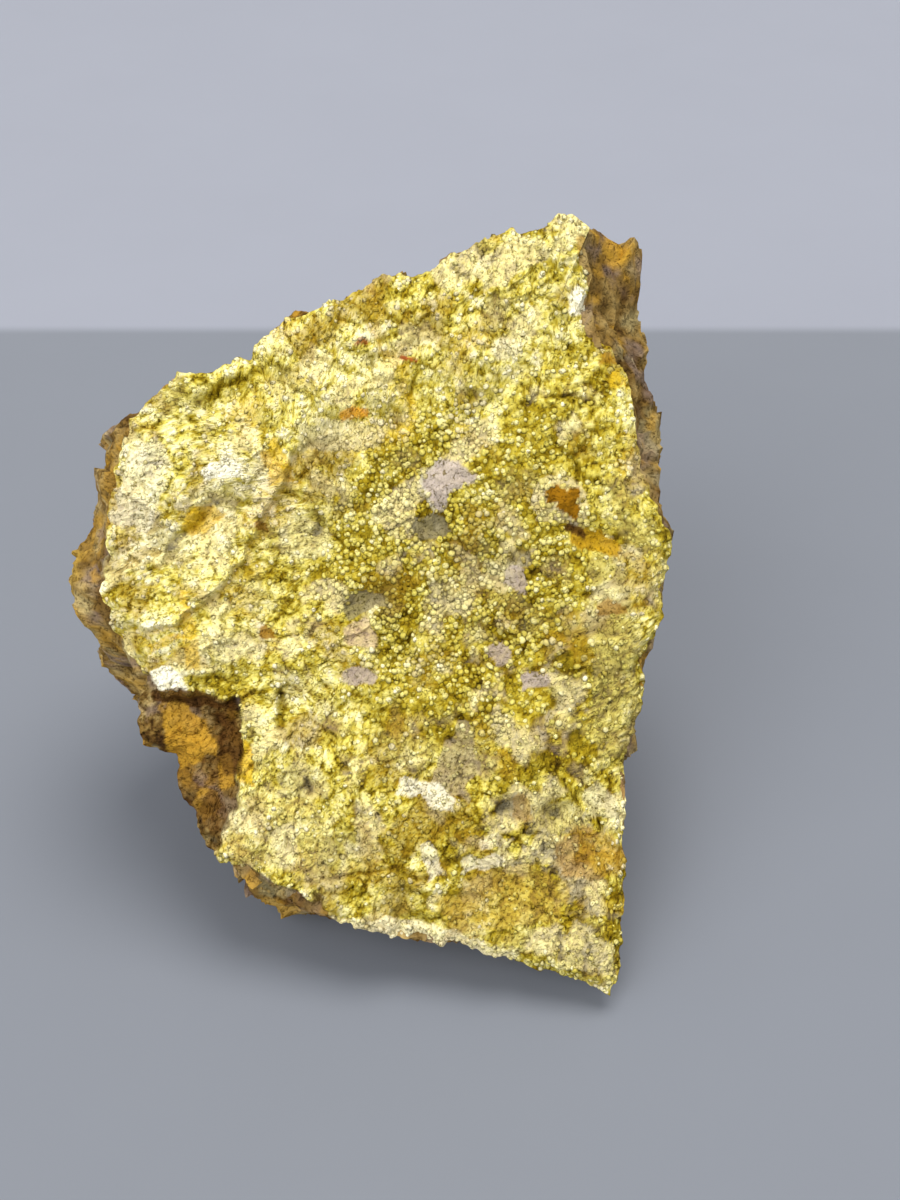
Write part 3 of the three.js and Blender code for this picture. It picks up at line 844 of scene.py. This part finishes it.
def fine_surface(u, v):
    """The face below the size of its lumps: plates, which are lower among granules,
    knobs, which are higher there, grit and fibres. Gives their relief and the tone
    they add: the plates' own less painted shade in their gaps, and painted shade and
    light that follow the relief of knobs, grit and fibres."""
    grained = granularity(u, v)
    plate_relief, plate_tone = plates(u, v)
    from_x, from_y, _, own = cells(*shaken(u, v), KNOB_SPACING, KNOB_SEED)
    knobs = KNOB_HEIGHT * (KNOB_LEAST + own) * (KNOB_TOP - from_x**2 - from_y**2)
    grit = GRIT_HEIGHT * layers(u, v, GRIT_LAYER, GRIT_SPACING, LOW_DETAIL)
    hairs = fibres(u, v)
    relief = plate_relief * (1 - PLATE_LOSS * grained) + knobs * (KNOB_SHARE + KNOB_GAIN * grained)
    # Painted shade and light: knobs, grit and fibres that stand higher are lighter.
    tone = plate_tone * (1 - PLATE_TONE_LOSS * grained) + RELIEF_PAINTED_SHADE * (knobs * grained + grit)
    return relief + grit + hairs, tone + hairs


def lumpy(u, v):
    """The face's roughness, lumps and pits, which the solid has too."""
    return swelled(rough(FACE_ROUGHNESS, u, v, 0.0), LUMPS, u, v)


def face_height(u, v):
    """How far the face stands out: the solid's lumps, ledge and bare patch, with
    sharp ragged edges, plus terraces, fine relief and cracks."""
    plateau = ramp(ledge_depth(u, v), -1, 1)
    bare = bareness(u, v)
    height = lumpy(u, v) + PLATEAU_HEIGHT * plateau - BARE_DEPTH * bare
    relief = fine_surface(u, v)[0]
    crumbly = uneven(relief, BARE_BLOCKS, u, v)
    fine = TERRACE_HEIGHT * terraces(u, v) + relief - cracks(u, v)
    return height + bare * crumbly + (1 - bare) * fine


def face_point(a, b):
    """The face as a function of a square grid from -1 to 1: each ring of the square
    is the crust's outline drawn in towards the face's middle."""
    ring = np.maximum(np.abs(a), np.abs(b))
    spot = FACE_MIDDLE + (crust_edge(edge_place(a, b)) - FACE_MIDDLE) * ring[..., None]
    u, v = spot[..., 0], spot[..., 1]
    drop = EDGE_DROP * ramp(ring, 1 - EDGE_WIDTH, 1) ** 2
    return np.stack([u, v, face_height(u, v) - drop], -1)


# ---- the limonite ----

def plain_height(u, v):
    """The face as the solid has it, without the finer shapes."""
    plateau = ramp(depth_inside(PLATEAU, u, v), -SOLID_LEDGE, SOLID_LEDGE)
    bare = ramp(depth_inside(BARE_PATCH, u, v), -SOLID_BARE_EDGE, SOLID_BARE_EDGE)
    return lumpy(u, v) + PLATEAU_HEIGHT * plateau - BARE_DEPTH * bare


def body_point(place, depth, ring):
    """The flanks and the back before they are broken: the outline runs from the
    crust's edge over the limonite's outline to the back's, where ring 0 closes it."""
    edge = outline_point(CRUST_EDGE, place)
    start = plain_height(edge[..., 0], edge[..., 1]) - EDGE_DROP
    behind_edge = depth * (start + THICKNESS - WEDGE * edge[..., 1])
    widened = ramp(behind_edge, 0, LIMONITE_DEPTH)[..., None]
    drawn_in = np.clip((behind_edge - LIMONITE_DEPTH) / (THICKNESS - LIMONITE_DEPTH), 0, 1)
    spot = edge + (outline_point(LIMONITE_OUTLINE, place) - edge) * widened
    spot = spot + (outline_point(BACK_OUTLINE, place) - spot) * (drawn_in**SHOULDER)[..., None]
    spot = FACE_MIDDLE + (spot - FACE_MIDDLE) * ring[..., None]
    back = THICKNESS - WEDGE * spot[..., 1]
    return np.stack([spot[..., 0], spot[..., 1], start + (-back - start) * depth], -1)


def broken(points):
    """Draws points in towards the body's middle as far as the fractures, then moves
    them along the same ray by blocks, lumps, chips, ridges and grit. Gives the points
    and the height of what is fine."""
    ray = points - BODY_MIDDLE
    share = np.ones(points.shape[:-1])
    for faces, distance in FRACTURES:
        outward = ray @ unit(np.array(faces))
        share = np.minimum(share, distance / np.maximum(outward, TINY))
    ray = ray * share[..., None]
    u, v, w = ray[..., 0], ray[..., 1], ray[..., 2]
    behind = -points[..., 2]
    blocks = np.abs(rough(FLANK_BLOCKS, u, v, w))
    broad = ramp(behind, *BROAD_BEHIND) * (rough(FLANK_ROUGHNESS, u, v, w) - blocks)
    for at, reach, rise in FLANK_LUMPS:
        away = np.linalg.norm(points - at, axis=-1) / reach
        broad = broad + rise * np.exp(-away**2)
    spacing, height = FLANK_GRIT
    grit = height * layers(u + FLANK_GRIT_SHIFT, v, w, spacing, LOW_DETAIL)
    fine = grit - np.abs(rough(FLANK_RIDGES, u, v, w))
    for spacing, height, tilt in CHIPS:
        slope, own = chips(u, v, w, spacing)
        fine = fine + height * own + tilt * spacing * slope
    fine = ramp(behind, *FINE_BEHIND) * fine
    length = np.linalg.norm(ray, axis=-1, keepdims=True)
    return BODY_MIDDLE + ray * (1 + (broad + fine)[..., None] / length), fine


# ---- placing ----

def to_part(points):
    """Points of the face's frame in the part's frame, in metres."""
    lean = math.radians(FACE_LEAN)
    u, v, w = points[..., 0], points[..., 1], points[..., 2]
    y = v * math.cos(lean) - w * math.sin(lean)
    z = v * math.sin(lean) + w * math.cos(lean)
    return MM * (np.stack([u, y, z], -1) + FACE_PLACE)


def seated(points):
    """Draws whatever would reach below the floor in towards the body's middle, which
    leaves the underside flat."""
    middle = to_part(BODY_MIDDLE)
    share = middle[2] / np.maximum(middle[2] - points[..., 2], TINY)
    below = (points[..., 2] < 0)[..., None]
    seat = middle + (points - middle) * share[..., None]
    seat[..., 2] = 0
    return np.where(below, seat, points)


# ---- colours: arrays of linear red, green and blue ----

def linear(colour):
    """A colour of 0 to 255 as it is stored, in linear light."""
    share = np.array(colour) / 255
    return np.where(share <= 0.04045, share / 12.92, ((share + 0.055) / 1.055) ** 2.4)


def tone_colour(tones, tone):
    """The colour at a tone from 0 to 1, between the stops of a list."""
    stops = np.array([stop for stop, _ in tones])
    colours = np.array([linear(colour) for _, colour in tones])
    return np.stack([np.interp(tone, stops, colours[:, n]) for n in range(3)], -1)


def stain(colours, name, amount):
    """Colours drawn towards one of the palette by an amount from 0 to 1."""
    return colours + (linear(PALETTE[name]) - colours) * np.clip(amount, 0, 1)[..., None]


def mottled(tone, mottles, u, v, w):
    """A tone made uneven by a few kinds of noise."""
    for mottle in mottles:
        tone = uneven(tone, mottle, u, v, w)
    return tone


def stained(colours, stains, fade, u, v, w):
    """Colours with each stain where its noise passes its level."""
    for name, strength, level, spacing, layer in stains:
        amount = ramp(layers(u, v, w + layer, spacing, HIGH_DETAIL), level, level + fade)
        colours = stain(colours, name, strength * amount)
    return colours


def crust_colours(u, v, lift):
    """The crust's colour at a place: a tone from its gaps to its grains, moved by
    `lift`, with a darker ground among granules and a golden ledge foot, both partly
    painted shade, painted shade in cracks, broad places partly lightened as painted
    light, and stains from noise; then the bare limonite and the patches with a colour
    of their own, which show less on what stands higher."""
    spot = shaken(u, v)
    pale = ramp(depth_inside(PLATEAU, *spot), *PALE_EDGE)
    # Partly painted shade: the foot of the plateau's ledge, where its shadow falls, is stained
    # golden.
    ledge = np.exp(-(ledge_depth(u, v) - LEDGE_FOOT) ** 2)
    # The fine surface's tone, partly painted shade and light that follow its relief.
    fine_tone_and_shade = fine_surface(u, v)[1]
    # Partly painted shade: the ground among granules is darker.
    hollow = granularity(u, v) * (FLAKY_HOLLOW + ROUND_HOLLOW * roundness(u, v))
    tone = CRUST_TONE + PLATEAU_TONE * pale - hollow + lift + fine_tone_and_shade
    # Partly painted light: some broad places are lightened where the ledge and a crevice lie in
    # shade.
    tone = swelled(mottled(tone, CRUST_MOTTLES, u, v, 0.0), TONES_AND_PAINTED_LIGHT, u, v)
    # Painted shade: cracks and the feet of small ledges are darker.
    tone = tone - CRACK_PAINTED_SHADE * np.clip(cracks(u, v), 0, 1)
    colours = stain(tone_colour(CRUST_TONES, np.clip(tone, 0, 1)), "gold", LEDGE_GOLD_AND_SHADE * ledge)
    colours = stained(colours, STAINS, STAIN_FADE, *spot, 0.0)
    bare = bareness(u, v)[..., None]
    colours = colours + (limonite_colours(u, v, 0.0 * u, lift + fine_tone_and_shade) - colours) * bare
    raised = 1 - RAISED_LOSS * np.clip(lift, 0, RAISED_LIMIT)
    for at, size, turn, name, strength in PATCHES:
        edge = uneven(fragment(*spot, at, size, turn), PATCH_FRAY, u, v)
        colours = stain(colours, name, raised * strength * (1 - ramp(edge, *PATCH_EDGE)))
    return colours


def limonite_colours(u, v, w, lift):
    """The limonite's colour: a tone moved by `lift`, which partly carries painted shade
    and light that follow the relief, with stains from noise and the flanks' own coloured
    places."""
    tone = mottled(LIMONITE_TONE + lift, LIMONITE_MOTTLES, u, v, w)
    colours = tone_colour(LIMONITE_TONES, np.clip(tone, 0, 1))
    colours = stained(colours, LIMONITE_STAINS, LIMONITE_STAIN_FADE, u, v, w)
    for at, reach, name, strength in FLANK_PATCHES:
        away = np.linalg.norm(np.stack([u, v, w], -1) - at, axis=-1) / reach
        edge = uneven(away, FLANK_PATCH_FRAY, u, v, w)
        colours = stain(colours, name, strength * (1 - ramp(edge, *FLANK_PATCH_EDGE)))
    return colours


# ---- meshes ----

def linked(name, data):
    """A new object in the scene, with this mesh, light or camera."""
    thing = bpy.data.objects.new(name, data)
    bpy.context.scene.collection.objects.link(thing)
    return thing


def add_piece(name, points, faces, colours, material):
    """A mesh from points in metres, a list of faces and a colour for each point."""
    mesh = bpy.data.meshes.new(name)
    mesh.from_pydata(points.reshape(-1, 3), [], faces)
    tint = mesh.color_attributes.new("tint", "FLOAT_COLOR", "POINT")
    opaque = np.ones((len(mesh.vertices), 1))
    tint.data.foreach_set("color", np.hstack([colours.reshape(-1, 3), opaque]).ravel())
    mesh.materials.append(material)
    piece = linked(name, mesh)
    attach(piece, "root")
    return piece


def grid_faces(index):
    """Four-cornered faces between the rows and columns of an array of point numbers."""
    corners = [index[:-1, :-1], index[:-1, 1:], index[1:, 1:], index[1:, :-1]]
    return np.stack(corners, -1).reshape(-1, 4).tolist()


def closed(loops):
    """Rows of point numbers with the first column repeated after the last."""
    return np.hstack([loops, loops[:, :1]])


def border(index):
    """The numbers on a square grid's border, clockwise from its upper left corner,
    where the last row is the top."""
    return np.concatenate([index[-1, :-1], index[:0:-1, -1], index[0, :0:-1], index[:-1, 0]])


def fan_faces(loop, middle):
    """Triangles from a closed loop of point numbers to the one in the middle."""
    return [[one, other, middle] for one, other in zip(loop.tolist(), np.roll(loop, -1).tolist())]


def square_grid(steps):
    """The two parameters of a square grid from -1 to 1, rows upwards."""
    line = np.linspace(-1, 1, steps + 1)
    return np.meshgrid(line, line)


def make_crust(material):
    """The crust: the face's grid, a rim that turns in behind its edge, and a hidden
    back, a fan to one point, that closes it inside the limonite."""
    a, b = square_grid(FACE_STEPS)
    face = face_point(a, b)
    face_colours = crust_colours(face[..., 0], face[..., 1], 0.0)
    index = np.arange(a.size).reshape(a.shape)
    edge = border(index)
    start = face.reshape(-1, 3)[edge]
    outward = unit(start[:, :2] - FACE_MIDDLE)
    rows, row_colours = [], []
    for behind, inset in RIM:
        row = start.copy()
        wobble = rough(RIM_WOBBLE, start[:, 0], start[:, 1], RIM_LAYERS * behind)
        row[:, :2] -= outward * (inset + wobble)[:, None]
        row[:, 2] -= behind
        rows.append(row)
        row_colours.append(crust_colours(row[:, 0], row[:, 1], np.full(len(edge), RIM_TONE)))
    loops = np.vstack([edge, a.size + np.arange(len(RIM) * len(edge)).reshape(len(RIM), -1)])
    middle = np.array([[*FACE_MIDDLE, -HIDDEN_DEPTH]])
    points = np.concatenate([face.reshape(-1, 3), *rows, middle])
    colours = np.concatenate([face_colours.reshape(-1, 3), *row_colours, row_colours[0][:1]])
    faces = grid_faces(index) + grid_faces(closed(loops)) + fan_faces(loops[-1], len(points) - 1)
    return add_piece("crust", to_part(points), faces, colours, material)


def make_limonite(material):
    """The limonite: a hidden front inside the crust, the flanks as rows from the
    crust's edge to the back, and the back as a square grid, seated on the floor."""
    a, b = square_grid(FLANK_SIDE_STEPS)
    ring = np.maximum(np.abs(a), np.abs(b))
    back, back_fine = broken(body_point(edge_place(a, b), 1.0, ring))
    around = 4 * FLANK_SIDE_STEPS
    place = np.arange(around) / FLANK_SIDE_STEPS
    depth = np.linspace(0, 1, FLANK_DEPTH_STEPS + 1)[:-1, None]
    place, depth = np.broadcast_arrays(place[None, :], depth)
    whole = body_point(place, depth, np.ones(place.shape))
    whole[..., 2] -= SEAM_DEPTH * (1 - depth)
    flank, flank_fine = broken(whole)
    inward = unit(FACE_MIDDLE - flank[..., :2])
    tucked = SEAM_INSET * (1 - ramp(depth * THICKNESS, 0, SEAM_WIDTH))
    flank[..., :2] += inward * tucked[..., None]
    front = flank[0].copy()
    front[:, :2] = FACE_MIDDLE + (front[:, :2] - FACE_MIDDLE) * HIDDEN_FRONT
    front[:, 2] -= SEAM_DEPTH
    middle = np.array([[*FACE_MIDDLE, -HIDDEN_DEPTH]])
    points = np.concatenate([back.reshape(-1, 3), flank.reshape(-1, 3), front, middle])
    fine = np.concatenate([back_fine.ravel(), flank_fine.ravel(), np.zeros(around + 1)])
    # Painted shade and light: the limonite is darker in the hollows of its fine relief and lighter
    # on its ridges.
    colours = limonite_colours(points[:, 0], points[:, 1], points[:, 2], FLANK_RELIEF_SHADE * fine)
    back_index = np.arange(a.size).reshape(a.shape)
    flank_index = a.size + np.arange(flank[..., 0].size).reshape(-1, around)
    front_index = flank_index[-1] + around
    loops = np.vstack([front_index, flank_index, border(back_index)])
    faces = grid_faces(closed(loops)) + grid_faces(back_index[:, ::-1])
    faces += fan_faces(front_index[::-1], len(points) - 1)
    return add_piece("limonite", seated(to_part(points)), faces, colours, material)


# ---- granules ----

def dome():
    """A closed dome of radius 1: rings of points, each a radius and a height, with a
    point on top and one below."""
    turn = np.arange(DOME_SIDES) * 2 * math.pi / DOME_SIDES
    points = [(0.0, 0.0, DOME_TOP)]
    for n, (radius, height) in enumerate(DOME_RINGS):
        ring_turn = turn + n * math.pi / DOME_SIDES
        across, along = radius * np.cos(ring_turn), radius * np.sin(ring_turn)
        points += list(zip(across, along, [height] * DOME_SIDES))
    points.append((0.0, 0.0, DOME_BOTTOM))
    faces = []
    for side in range(DOME_SIDES):
        following = (side + 1) % DOME_SIDES
        faces.append((0, 1 + side, 1 + following))
        for ring in range(len(DOME_RINGS) - 1):
            upper, lower = 1 + ring * DOME_SIDES, 1 + (ring + 1) * DOME_SIDES
            faces.append((upper + side, lower + side, upper + following))
            faces.append((upper + following, lower + side, lower + following))
        lowest = 1 + (len(DOME_RINGS) - 1) * DOME_SIDES
        faces.append((lowest + side, len(points) - 1, lowest + following))
    return np.array(points), np.array(faces)


def joined_domes(name, centres, normals, radii, colours, rng, jitter, material):
    """Domes joined in one mesh: each is turned at random round its normal, its points
    pushed in and out by up to `jitter`, and its colour darkened towards its foot as
    painted shade."""
    points, dome_faces = dome()
    count = len(centres)
    spin = rng.uniform(0, 2 * math.pi, count)
    helper = np.stack([np.cos(spin), np.sin(spin), np.zeros(count)], -1)
    across = unit(np.cross(normals, helper))
    along = np.cross(across, normals)
    stretch = rng.uniform(*DOME_STRETCH, (count, 3))
    shape = points[None] * (1 + rng.uniform(-jitter, jitter, (count, len(points), 1)))
    shape = shape * (radii[:, None] * stretch)[:, None, :]
    frames = np.stack([along, across, normals], 1)
    placed = centres[:, None, :] + np.einsum("npk,nkx->npx", shape, frames)
    # Painted shade: each dome's colour darkens from its top down to its foot.
    shade = at_least(DOME_PAINTED_FOOT_SHADE, ramp(points[:, 2], DOME_BOTTOM, DOME_TOP))
    foot_shaded_tints = colours[:, None, :] * shade[None, :, None]
    numbers = dome_faces[None] + (len(points) * np.arange(count))[:, None, None]
    piece = add_piece(name, placed, numbers.reshape(-1, 3).tolist(), foot_shaded_tints, material)
    piece.data.shade_smooth()


def scatter(spacing, rng):
    """Places over the face, one to a square of this size, each shaken within it, and
    how far inside the crust's edge they lie."""
    u, v = np.meshgrid(np.arange(*FACE_SPAN_U, spacing), np.arange(*FACE_SPAN_V, spacing))
    u = u.ravel() + rng.uniform(-0.5, 0.5, u.size) * spacing
    v = v.ravel() + rng.uniform(-0.5, 0.5, v.size) * spacing
    depth = depth_inside(crust_edge(np.arange(0, len(CRUST_EDGE), LOOP_STEP)), u, v)
    inside = depth > EDGE_MARGIN
    return u[inside], v[inside], depth[inside]


def smoothness(u, v):
    """1 on the smooth patches: grey fragments and rusty, golden and brown places."""
    spot = shaken(u, v)
    edges = [fragment(*spot, *patch[:3]) for patch in PATCHES if patch[3] in SMOOTH_PATCHES]
    return np.max([1 - ramp(edge, *BARE_GROUND_EDGE) for edge in edges], axis=0)


# The chance of a granule of each kind at a place, `depth` inside the crust's edge.

def bead_density(u, v, depth):
    """Beads are crowded where they are round, more so in clusters, and few elsewhere."""
    crowded = at_least(LOOSE_BEADS, patchy(u, v, *BEAD_CLUSTERS))
    return granularity(u, v) * at_least(FLAKY_BEADS, roundness(u, v)) * crowded


def pearl_density(u, v, depth):
    """Pearls sit in clusters among the round granules."""
    return PEARL_SHARE * roundness(u, v) * patchy(u, v, *PEARL_CLUSTERS)


def crumb_density(u, v, depth):
    """Crumbs lie all over the crust, and fewer among the round granules."""
    return CRUMB_SHARE - CRUMB_LOSS * granularity(u, v) * roundness(u, v)


def rim_density(u, v, depth):
    """Crumbs along the crust's lower edge, and a few round the rest of it."""
    return ramp(depth, *RIM_REACH) * at_least(RIM_SHARE, ramp(v, *LOWER_RIM))


def make_granules(name, spacing, radius_span, density, lift, jitter, seed, material):
    """Granules on the face: one to a square of `spacing`, kept with a chance that
    `density` gives, with radii in a span and tones moved by `lift`. They follow part
    of the face's slope and sink a little into it."""
    rng = np.random.default_rng(seed)
    u, v, depth = scatter(spacing, rng)
    chance = density(u, v, depth) * (1 - smoothness(u, v)) * (1 - bareness(u, v))
    keep = rng.uniform(0, 1, u.size) < chance
    u, v, depth = u[keep], v[keep], depth[keep]
    radii = rng.uniform(*radius_span, u.size) * rng.uniform(*GRANULE_SIZES, u.size)
    height = face_height(u, v)
    drop = EDGE_DROP * ramp(depth, EDGE_WIDTH * MEAN_RADIUS, 0) ** 2
    tilt_u = (face_height(u + NORMAL_STEP, v) - height) / NORMAL_STEP
    tilt_v = (face_height(u, v + NORMAL_STEP) - height) / NORMAL_STEP
    normals = [-GRANULE_TILT * tilt_u, -GRANULE_TILT * tilt_v, np.ones(u.size)]
    normals = unit(np.stack(normals, -1))
    upright = unit(to_part(normals) - to_part(np.zeros(3)))
    colours = crust_colours(u, v, lift + GRANULE_TONE_SPREAD * rng.normal(0, 1, u.size))
    centres = to_part(np.stack([u, v, height - drop - GRANULE_SINK * radii], -1))
    joined_domes(name, centres, upright, MM * radii, colours, rng, jitter, material)


# ---- materials ----

# Noises of stone, its fine frays, its specks and its blotches: spacing in grains,
# detail, roughness and distortion.
STONE_NOISES = ((2.2, 5, 0.62, 0.9), (1.3, 3, 0.7, 0.3), (7, 3, 0.6, 0.4))
# Levels at which frays open into gaps and specks show, and how strongly both do; the
# gaps are painted shade.
GAP_FADE = 0.06
SPECK_LEVELS = (0.55, 0.62)
GAP_SHADE_SHARE = 0.75
SPECK_SHARE = 0.6
# Brightness before blotches, and what frays add to it.
DULLNESS = 0.6
FRAY_BRIGHTNESS = 0.85
# The bump's height: frays, plus this share of specks, less this share of gaps, in all
# this many grains high.
SPECK_RELIEF = 0.5
GAP_RELIEF = 0.25
RELIEF_GRAINS = 1.2
STONE_ROUGHNESS = 0.72
SPECK_ROUGHNESS = 0.25
STONE_GLOSS = 0.06
# The card's noise: spacing in millimetres, detail and roughness, and its brightness.
CARD_NOISE = (40, 3, 0.6)
CARD_BRIGHTNESS = 0.97
CARD_MOTTLE = 0.06
CARD_ROUGHNESS = 0.8
# The numbers of a colour mix's sockets: its first colour, its second and its result.
MIX_FIRST = 6
MIX_SECOND = 7
MIX_RESULT = 2


class Value:
    """A node socket's value that Python's operators work with."""

    def __init__(self, nodes, socket):
        self.nodes = nodes
        self.socket = socket

    def _math(self, operation, first, second):
        return self.nodes.add("ShaderNodeMath", {"operation": operation}, {0: first, 1: second})

    def __add__(self, other):
        return self._math("ADD", self, other)

    __radd__ = __add__

    def __sub__(self, other):
        return self._math("SUBTRACT", self, other)

    def __rsub__(self, other):
        return self._math("SUBTRACT", other, self)

    def __mul__(self, other):
        return self._math("MULTIPLY", self, other)

    __rmul__ = __mul__


class Nodes:
    """A material's nodes, each made from a type, settings and socket values."""

    def __init__(self, material):
        material.use_nodes = True
        self.tree = material.node_tree
        self.tree.nodes.clear()

    def add(self, kind, settings, sockets, output=0):
        """A node of a type, with its settings first and then its sockets' values or
        links. Gives one of its outputs."""
        node = self.tree.nodes.new(kind)
        for name, value in settings.items():
            setattr(node, name, value)
        for name, value in sockets.items():
            if isinstance(value, Value):
                self.tree.links.new(value.socket, node.inputs[name])
            else:
                node.inputs[name].default_value = value
        return Value(self, node.outputs[output]) if node.outputs else None

    def place(self):
        """The point's own place, in metres."""
        return self.add("ShaderNodeTexCoord", {}, {}, "Object")

    def noise(self, spacing_mm, detail, roughness, distortion=0.0):
        """Noise from 0 to 1 with features about this far apart."""
        sockets = {"Vector": self.place(), "Scale": 1 / (MM * spacing_mm), "Detail": detail}
        sockets.update({"Roughness": roughness, "Distortion": distortion})
        return self.add("ShaderNodeTexNoise", {}, sockets)

    def band(self, value, low, high):
        """0 below one level, 1 above another, and smooth between."""
        sockets = {"Value": value, "From Min": low, "From Max": high}
        return self.add("ShaderNodeMapRange", {"interpolation_type": "SMOOTHSTEP"}, sockets)

    def times(self, colour, other):
        """A colour times another."""
        return self.add("ShaderNodeVectorMath", {"operation": "MULTIPLY"}, {0: colour, 1: other})

    def blend(self, first, second, share):
        """One colour, and as much of a second one as the share says."""
        sockets = {"Factor": share, MIX_FIRST: first, MIX_SECOND: second}
        return self.add("ShaderNodeMix", {"data_type": "RGBA"}, sockets, MIX_RESULT)

    def shade(self, colour, brightness):
        """A colour times a brightness."""
        sockets = {0: colour, "Scale": brightness}
        return self.add("ShaderNodeVectorMath", {"operation": "SCALE"}, sockets)

    def bump(self, height, distance):
        """The way the surface faces where it stands out by a height times a distance."""
        return self.add("ShaderNodeBump", {}, {"Distance": distance, "Height": height})

    def finish(self, sockets):
        """The surface: a principled shader on the material's output."""
        shader = self.add("ShaderNodeBsdfPrincipled", {}, sockets)
        self.add("ShaderNodeOutputMaterial", {}, {"Surface": shader})


def stone_material(name, grain_mm, mottle, gap_level, gap_shade_tint, light_tint):
    """Dull stone: the points' own tint, with fine frayed gaps painted in a darker tint of
    it as shade and small flakes in a lighter one, all of which stand in relief."""
    material = bpy.data.materials.new(name)
    nodes = Nodes(material)
    tint = nodes.add("ShaderNodeAttribute", {"attribute_name": "tint"}, {}, "Color")
    frays, specks, blotches = [
        nodes.noise(spacing * grain_mm, *rest) for spacing, *rest in STONE_NOISES
    ]
    gaps = 1 - nodes.band(frays, gap_level - GAP_FADE, gap_level)
    lights = nodes.band(specks, *SPECK_LEVELS)
    brightness = DULLNESS + mottle * (blotches - 0.5) + FRAY_BRIGHTNESS * frays
    base = nodes.shade(tint, brightness)
    # Painted shade: the fine gaps take a darker tint.
    gap_shaded = nodes.blend(base, nodes.times(base, gap_shade_tint), GAP_SHADE_SHARE * gaps)
    lit = nodes.blend(gap_shaded, nodes.times(tint, light_tint), SPECK_SHARE * lights)
    height = frays + SPECK_RELIEF * specks - GAP_RELIEF * gaps
    nodes.finish({
        "Base Color": lit,
        "Roughness": STONE_ROUGHNESS + SPECK_ROUGHNESS * specks,
        "Specular IOR Level": STONE_GLOSS,
        "Normal": nodes.bump(height, MM * RELIEF_GRAINS * grain_mm),
    })
    return material


def floor_material():
    """Smooth matt card that turns a little lighter beyond a soft line behind the piece."""
    material = bpy.data.materials.new("floor_card")
    nodes = Nodes(material)
    along = nodes.add("ShaderNodeSeparateXYZ", {}, {"Vector": nodes.place()}, "Y")
    beyond = nodes.band(along, MM * FLOOR_LINE, MM * (FLOOR_LINE + FLOOR_LINE_WIDTH))
    tones = [(*linear(colour), 1) for colour in (FLOOR_COLOUR, FAR_FLOOR_COLOUR)]
    brightness = CARD_BRIGHTNESS + CARD_MOTTLE * nodes.noise(*CARD_NOISE)
    nodes.finish({
        "Base Color": nodes.shade(nodes.blend(*tones, beyond), brightness),
        "Roughness": CARD_ROUGHNESS,
    })
    return material


# ---- stage, lights and camera ----

def make_floor():
    side = FLOOR_SIZE / 2
    mesh = bpy.data.meshes.new("floor")
    corners = [(-side, -side, 0), (side, -side, 0), (side, side, 0), (-side, side, 0)]
    mesh.from_pydata(corners, [], [(0, 1, 2, 3)])
    mesh.materials.append(floor_material())
    floor = linked("floor", mesh)


def aimed(data, place, target):
    """Puts a light or the camera at a place, looking at a target."""
    thing = linked(data.name, data)
    thing.location = place
    thing.rotation_euler = (Vector(target) - Vector(place)).to_track_quat("-Z", "Y").to_euler()
    return thing


def make_lights():
    for name, place, size, power, colour in LIGHTS:
        light = bpy.data.lights.new(name, "AREA")
        light.shape = "DISK"
        light.size = size
        light.energy = power
        light.color = colour
        aimed(light, place, LIGHT_TARGET).visible_camera = False
    world = bpy.data.worlds.new("studio")
    world.use_nodes = True
    background = world.node_tree.nodes["Background"]
    background.inputs["Color"].default_value = (*AMBIENT_COLOUR, 1)
    background.inputs["Strength"].default_value = AMBIENT_STRENGTH
    bpy.context.scene.world = world


def make_camera():
    """The camera looks straight at the middle of the face."""
    camera = bpy.data.cameras.new("camera")
    camera.sensor_width = SENSOR
    camera.lens = SENSOR * CAMERA_DISTANCE * PIXELS_PER_MM / PICTURE_HEIGHT
    camera.clip_start = CLIP_START
    face_middle = to_part(np.zeros(3))
    place = to_part(np.array([0, 0, CAMERA_DISTANCE]))
    bpy.context.scene.camera = aimed(camera, place, face_middle)


# Stone: its name, grain in millimetres, mottle, level of gaps, and what the gaps'
# painted shade and the flakes multiply the tint by.
CRUST_STONE = ("crust_stone", 0.2, 0.6, 0.43, (0.38, 0.33, 0.05), (1.26, 1.28, 1.45))
LIMONITE_STONE = ("limonite_stone", 0.3, 0.8, 0.44, (0.5, 0.45, 0.38), (1.4, 1.4, 1.4))
# Granules: name, spacing, radii, density, rise of tone, unevenness and seed.
GRANULES = (
    ("beads", 0.58, (0.24, 0.46), bead_density, 0.25, 0.12, 11),
    ("pearls", 0.75, (0.32, 0.5), pearl_density, 0.32, 0.12, 12),
    ("crumbs", 0.85, (0.15, 0.36), crumb_density, 0.14, 0.35, 13),
    ("rim_crumbs", 0.6, (0.25, 0.45), rim_density, 0.2, 0.3, 14),
)

crust_stone = stone_material(*CRUST_STONE)
limonite_stone = stone_material(*LIMONITE_STONE)
crust = make_crust(crust_stone)
limonite = make_limonite(limonite_stone)
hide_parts("specimen")
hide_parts("specimen")
for kind in GRANULES:
    make_granules(*kind, crust_stone)

make_floor()
make_lights()
make_camera()
bpy.context.scene.view_settings.view_transform = "Standard"
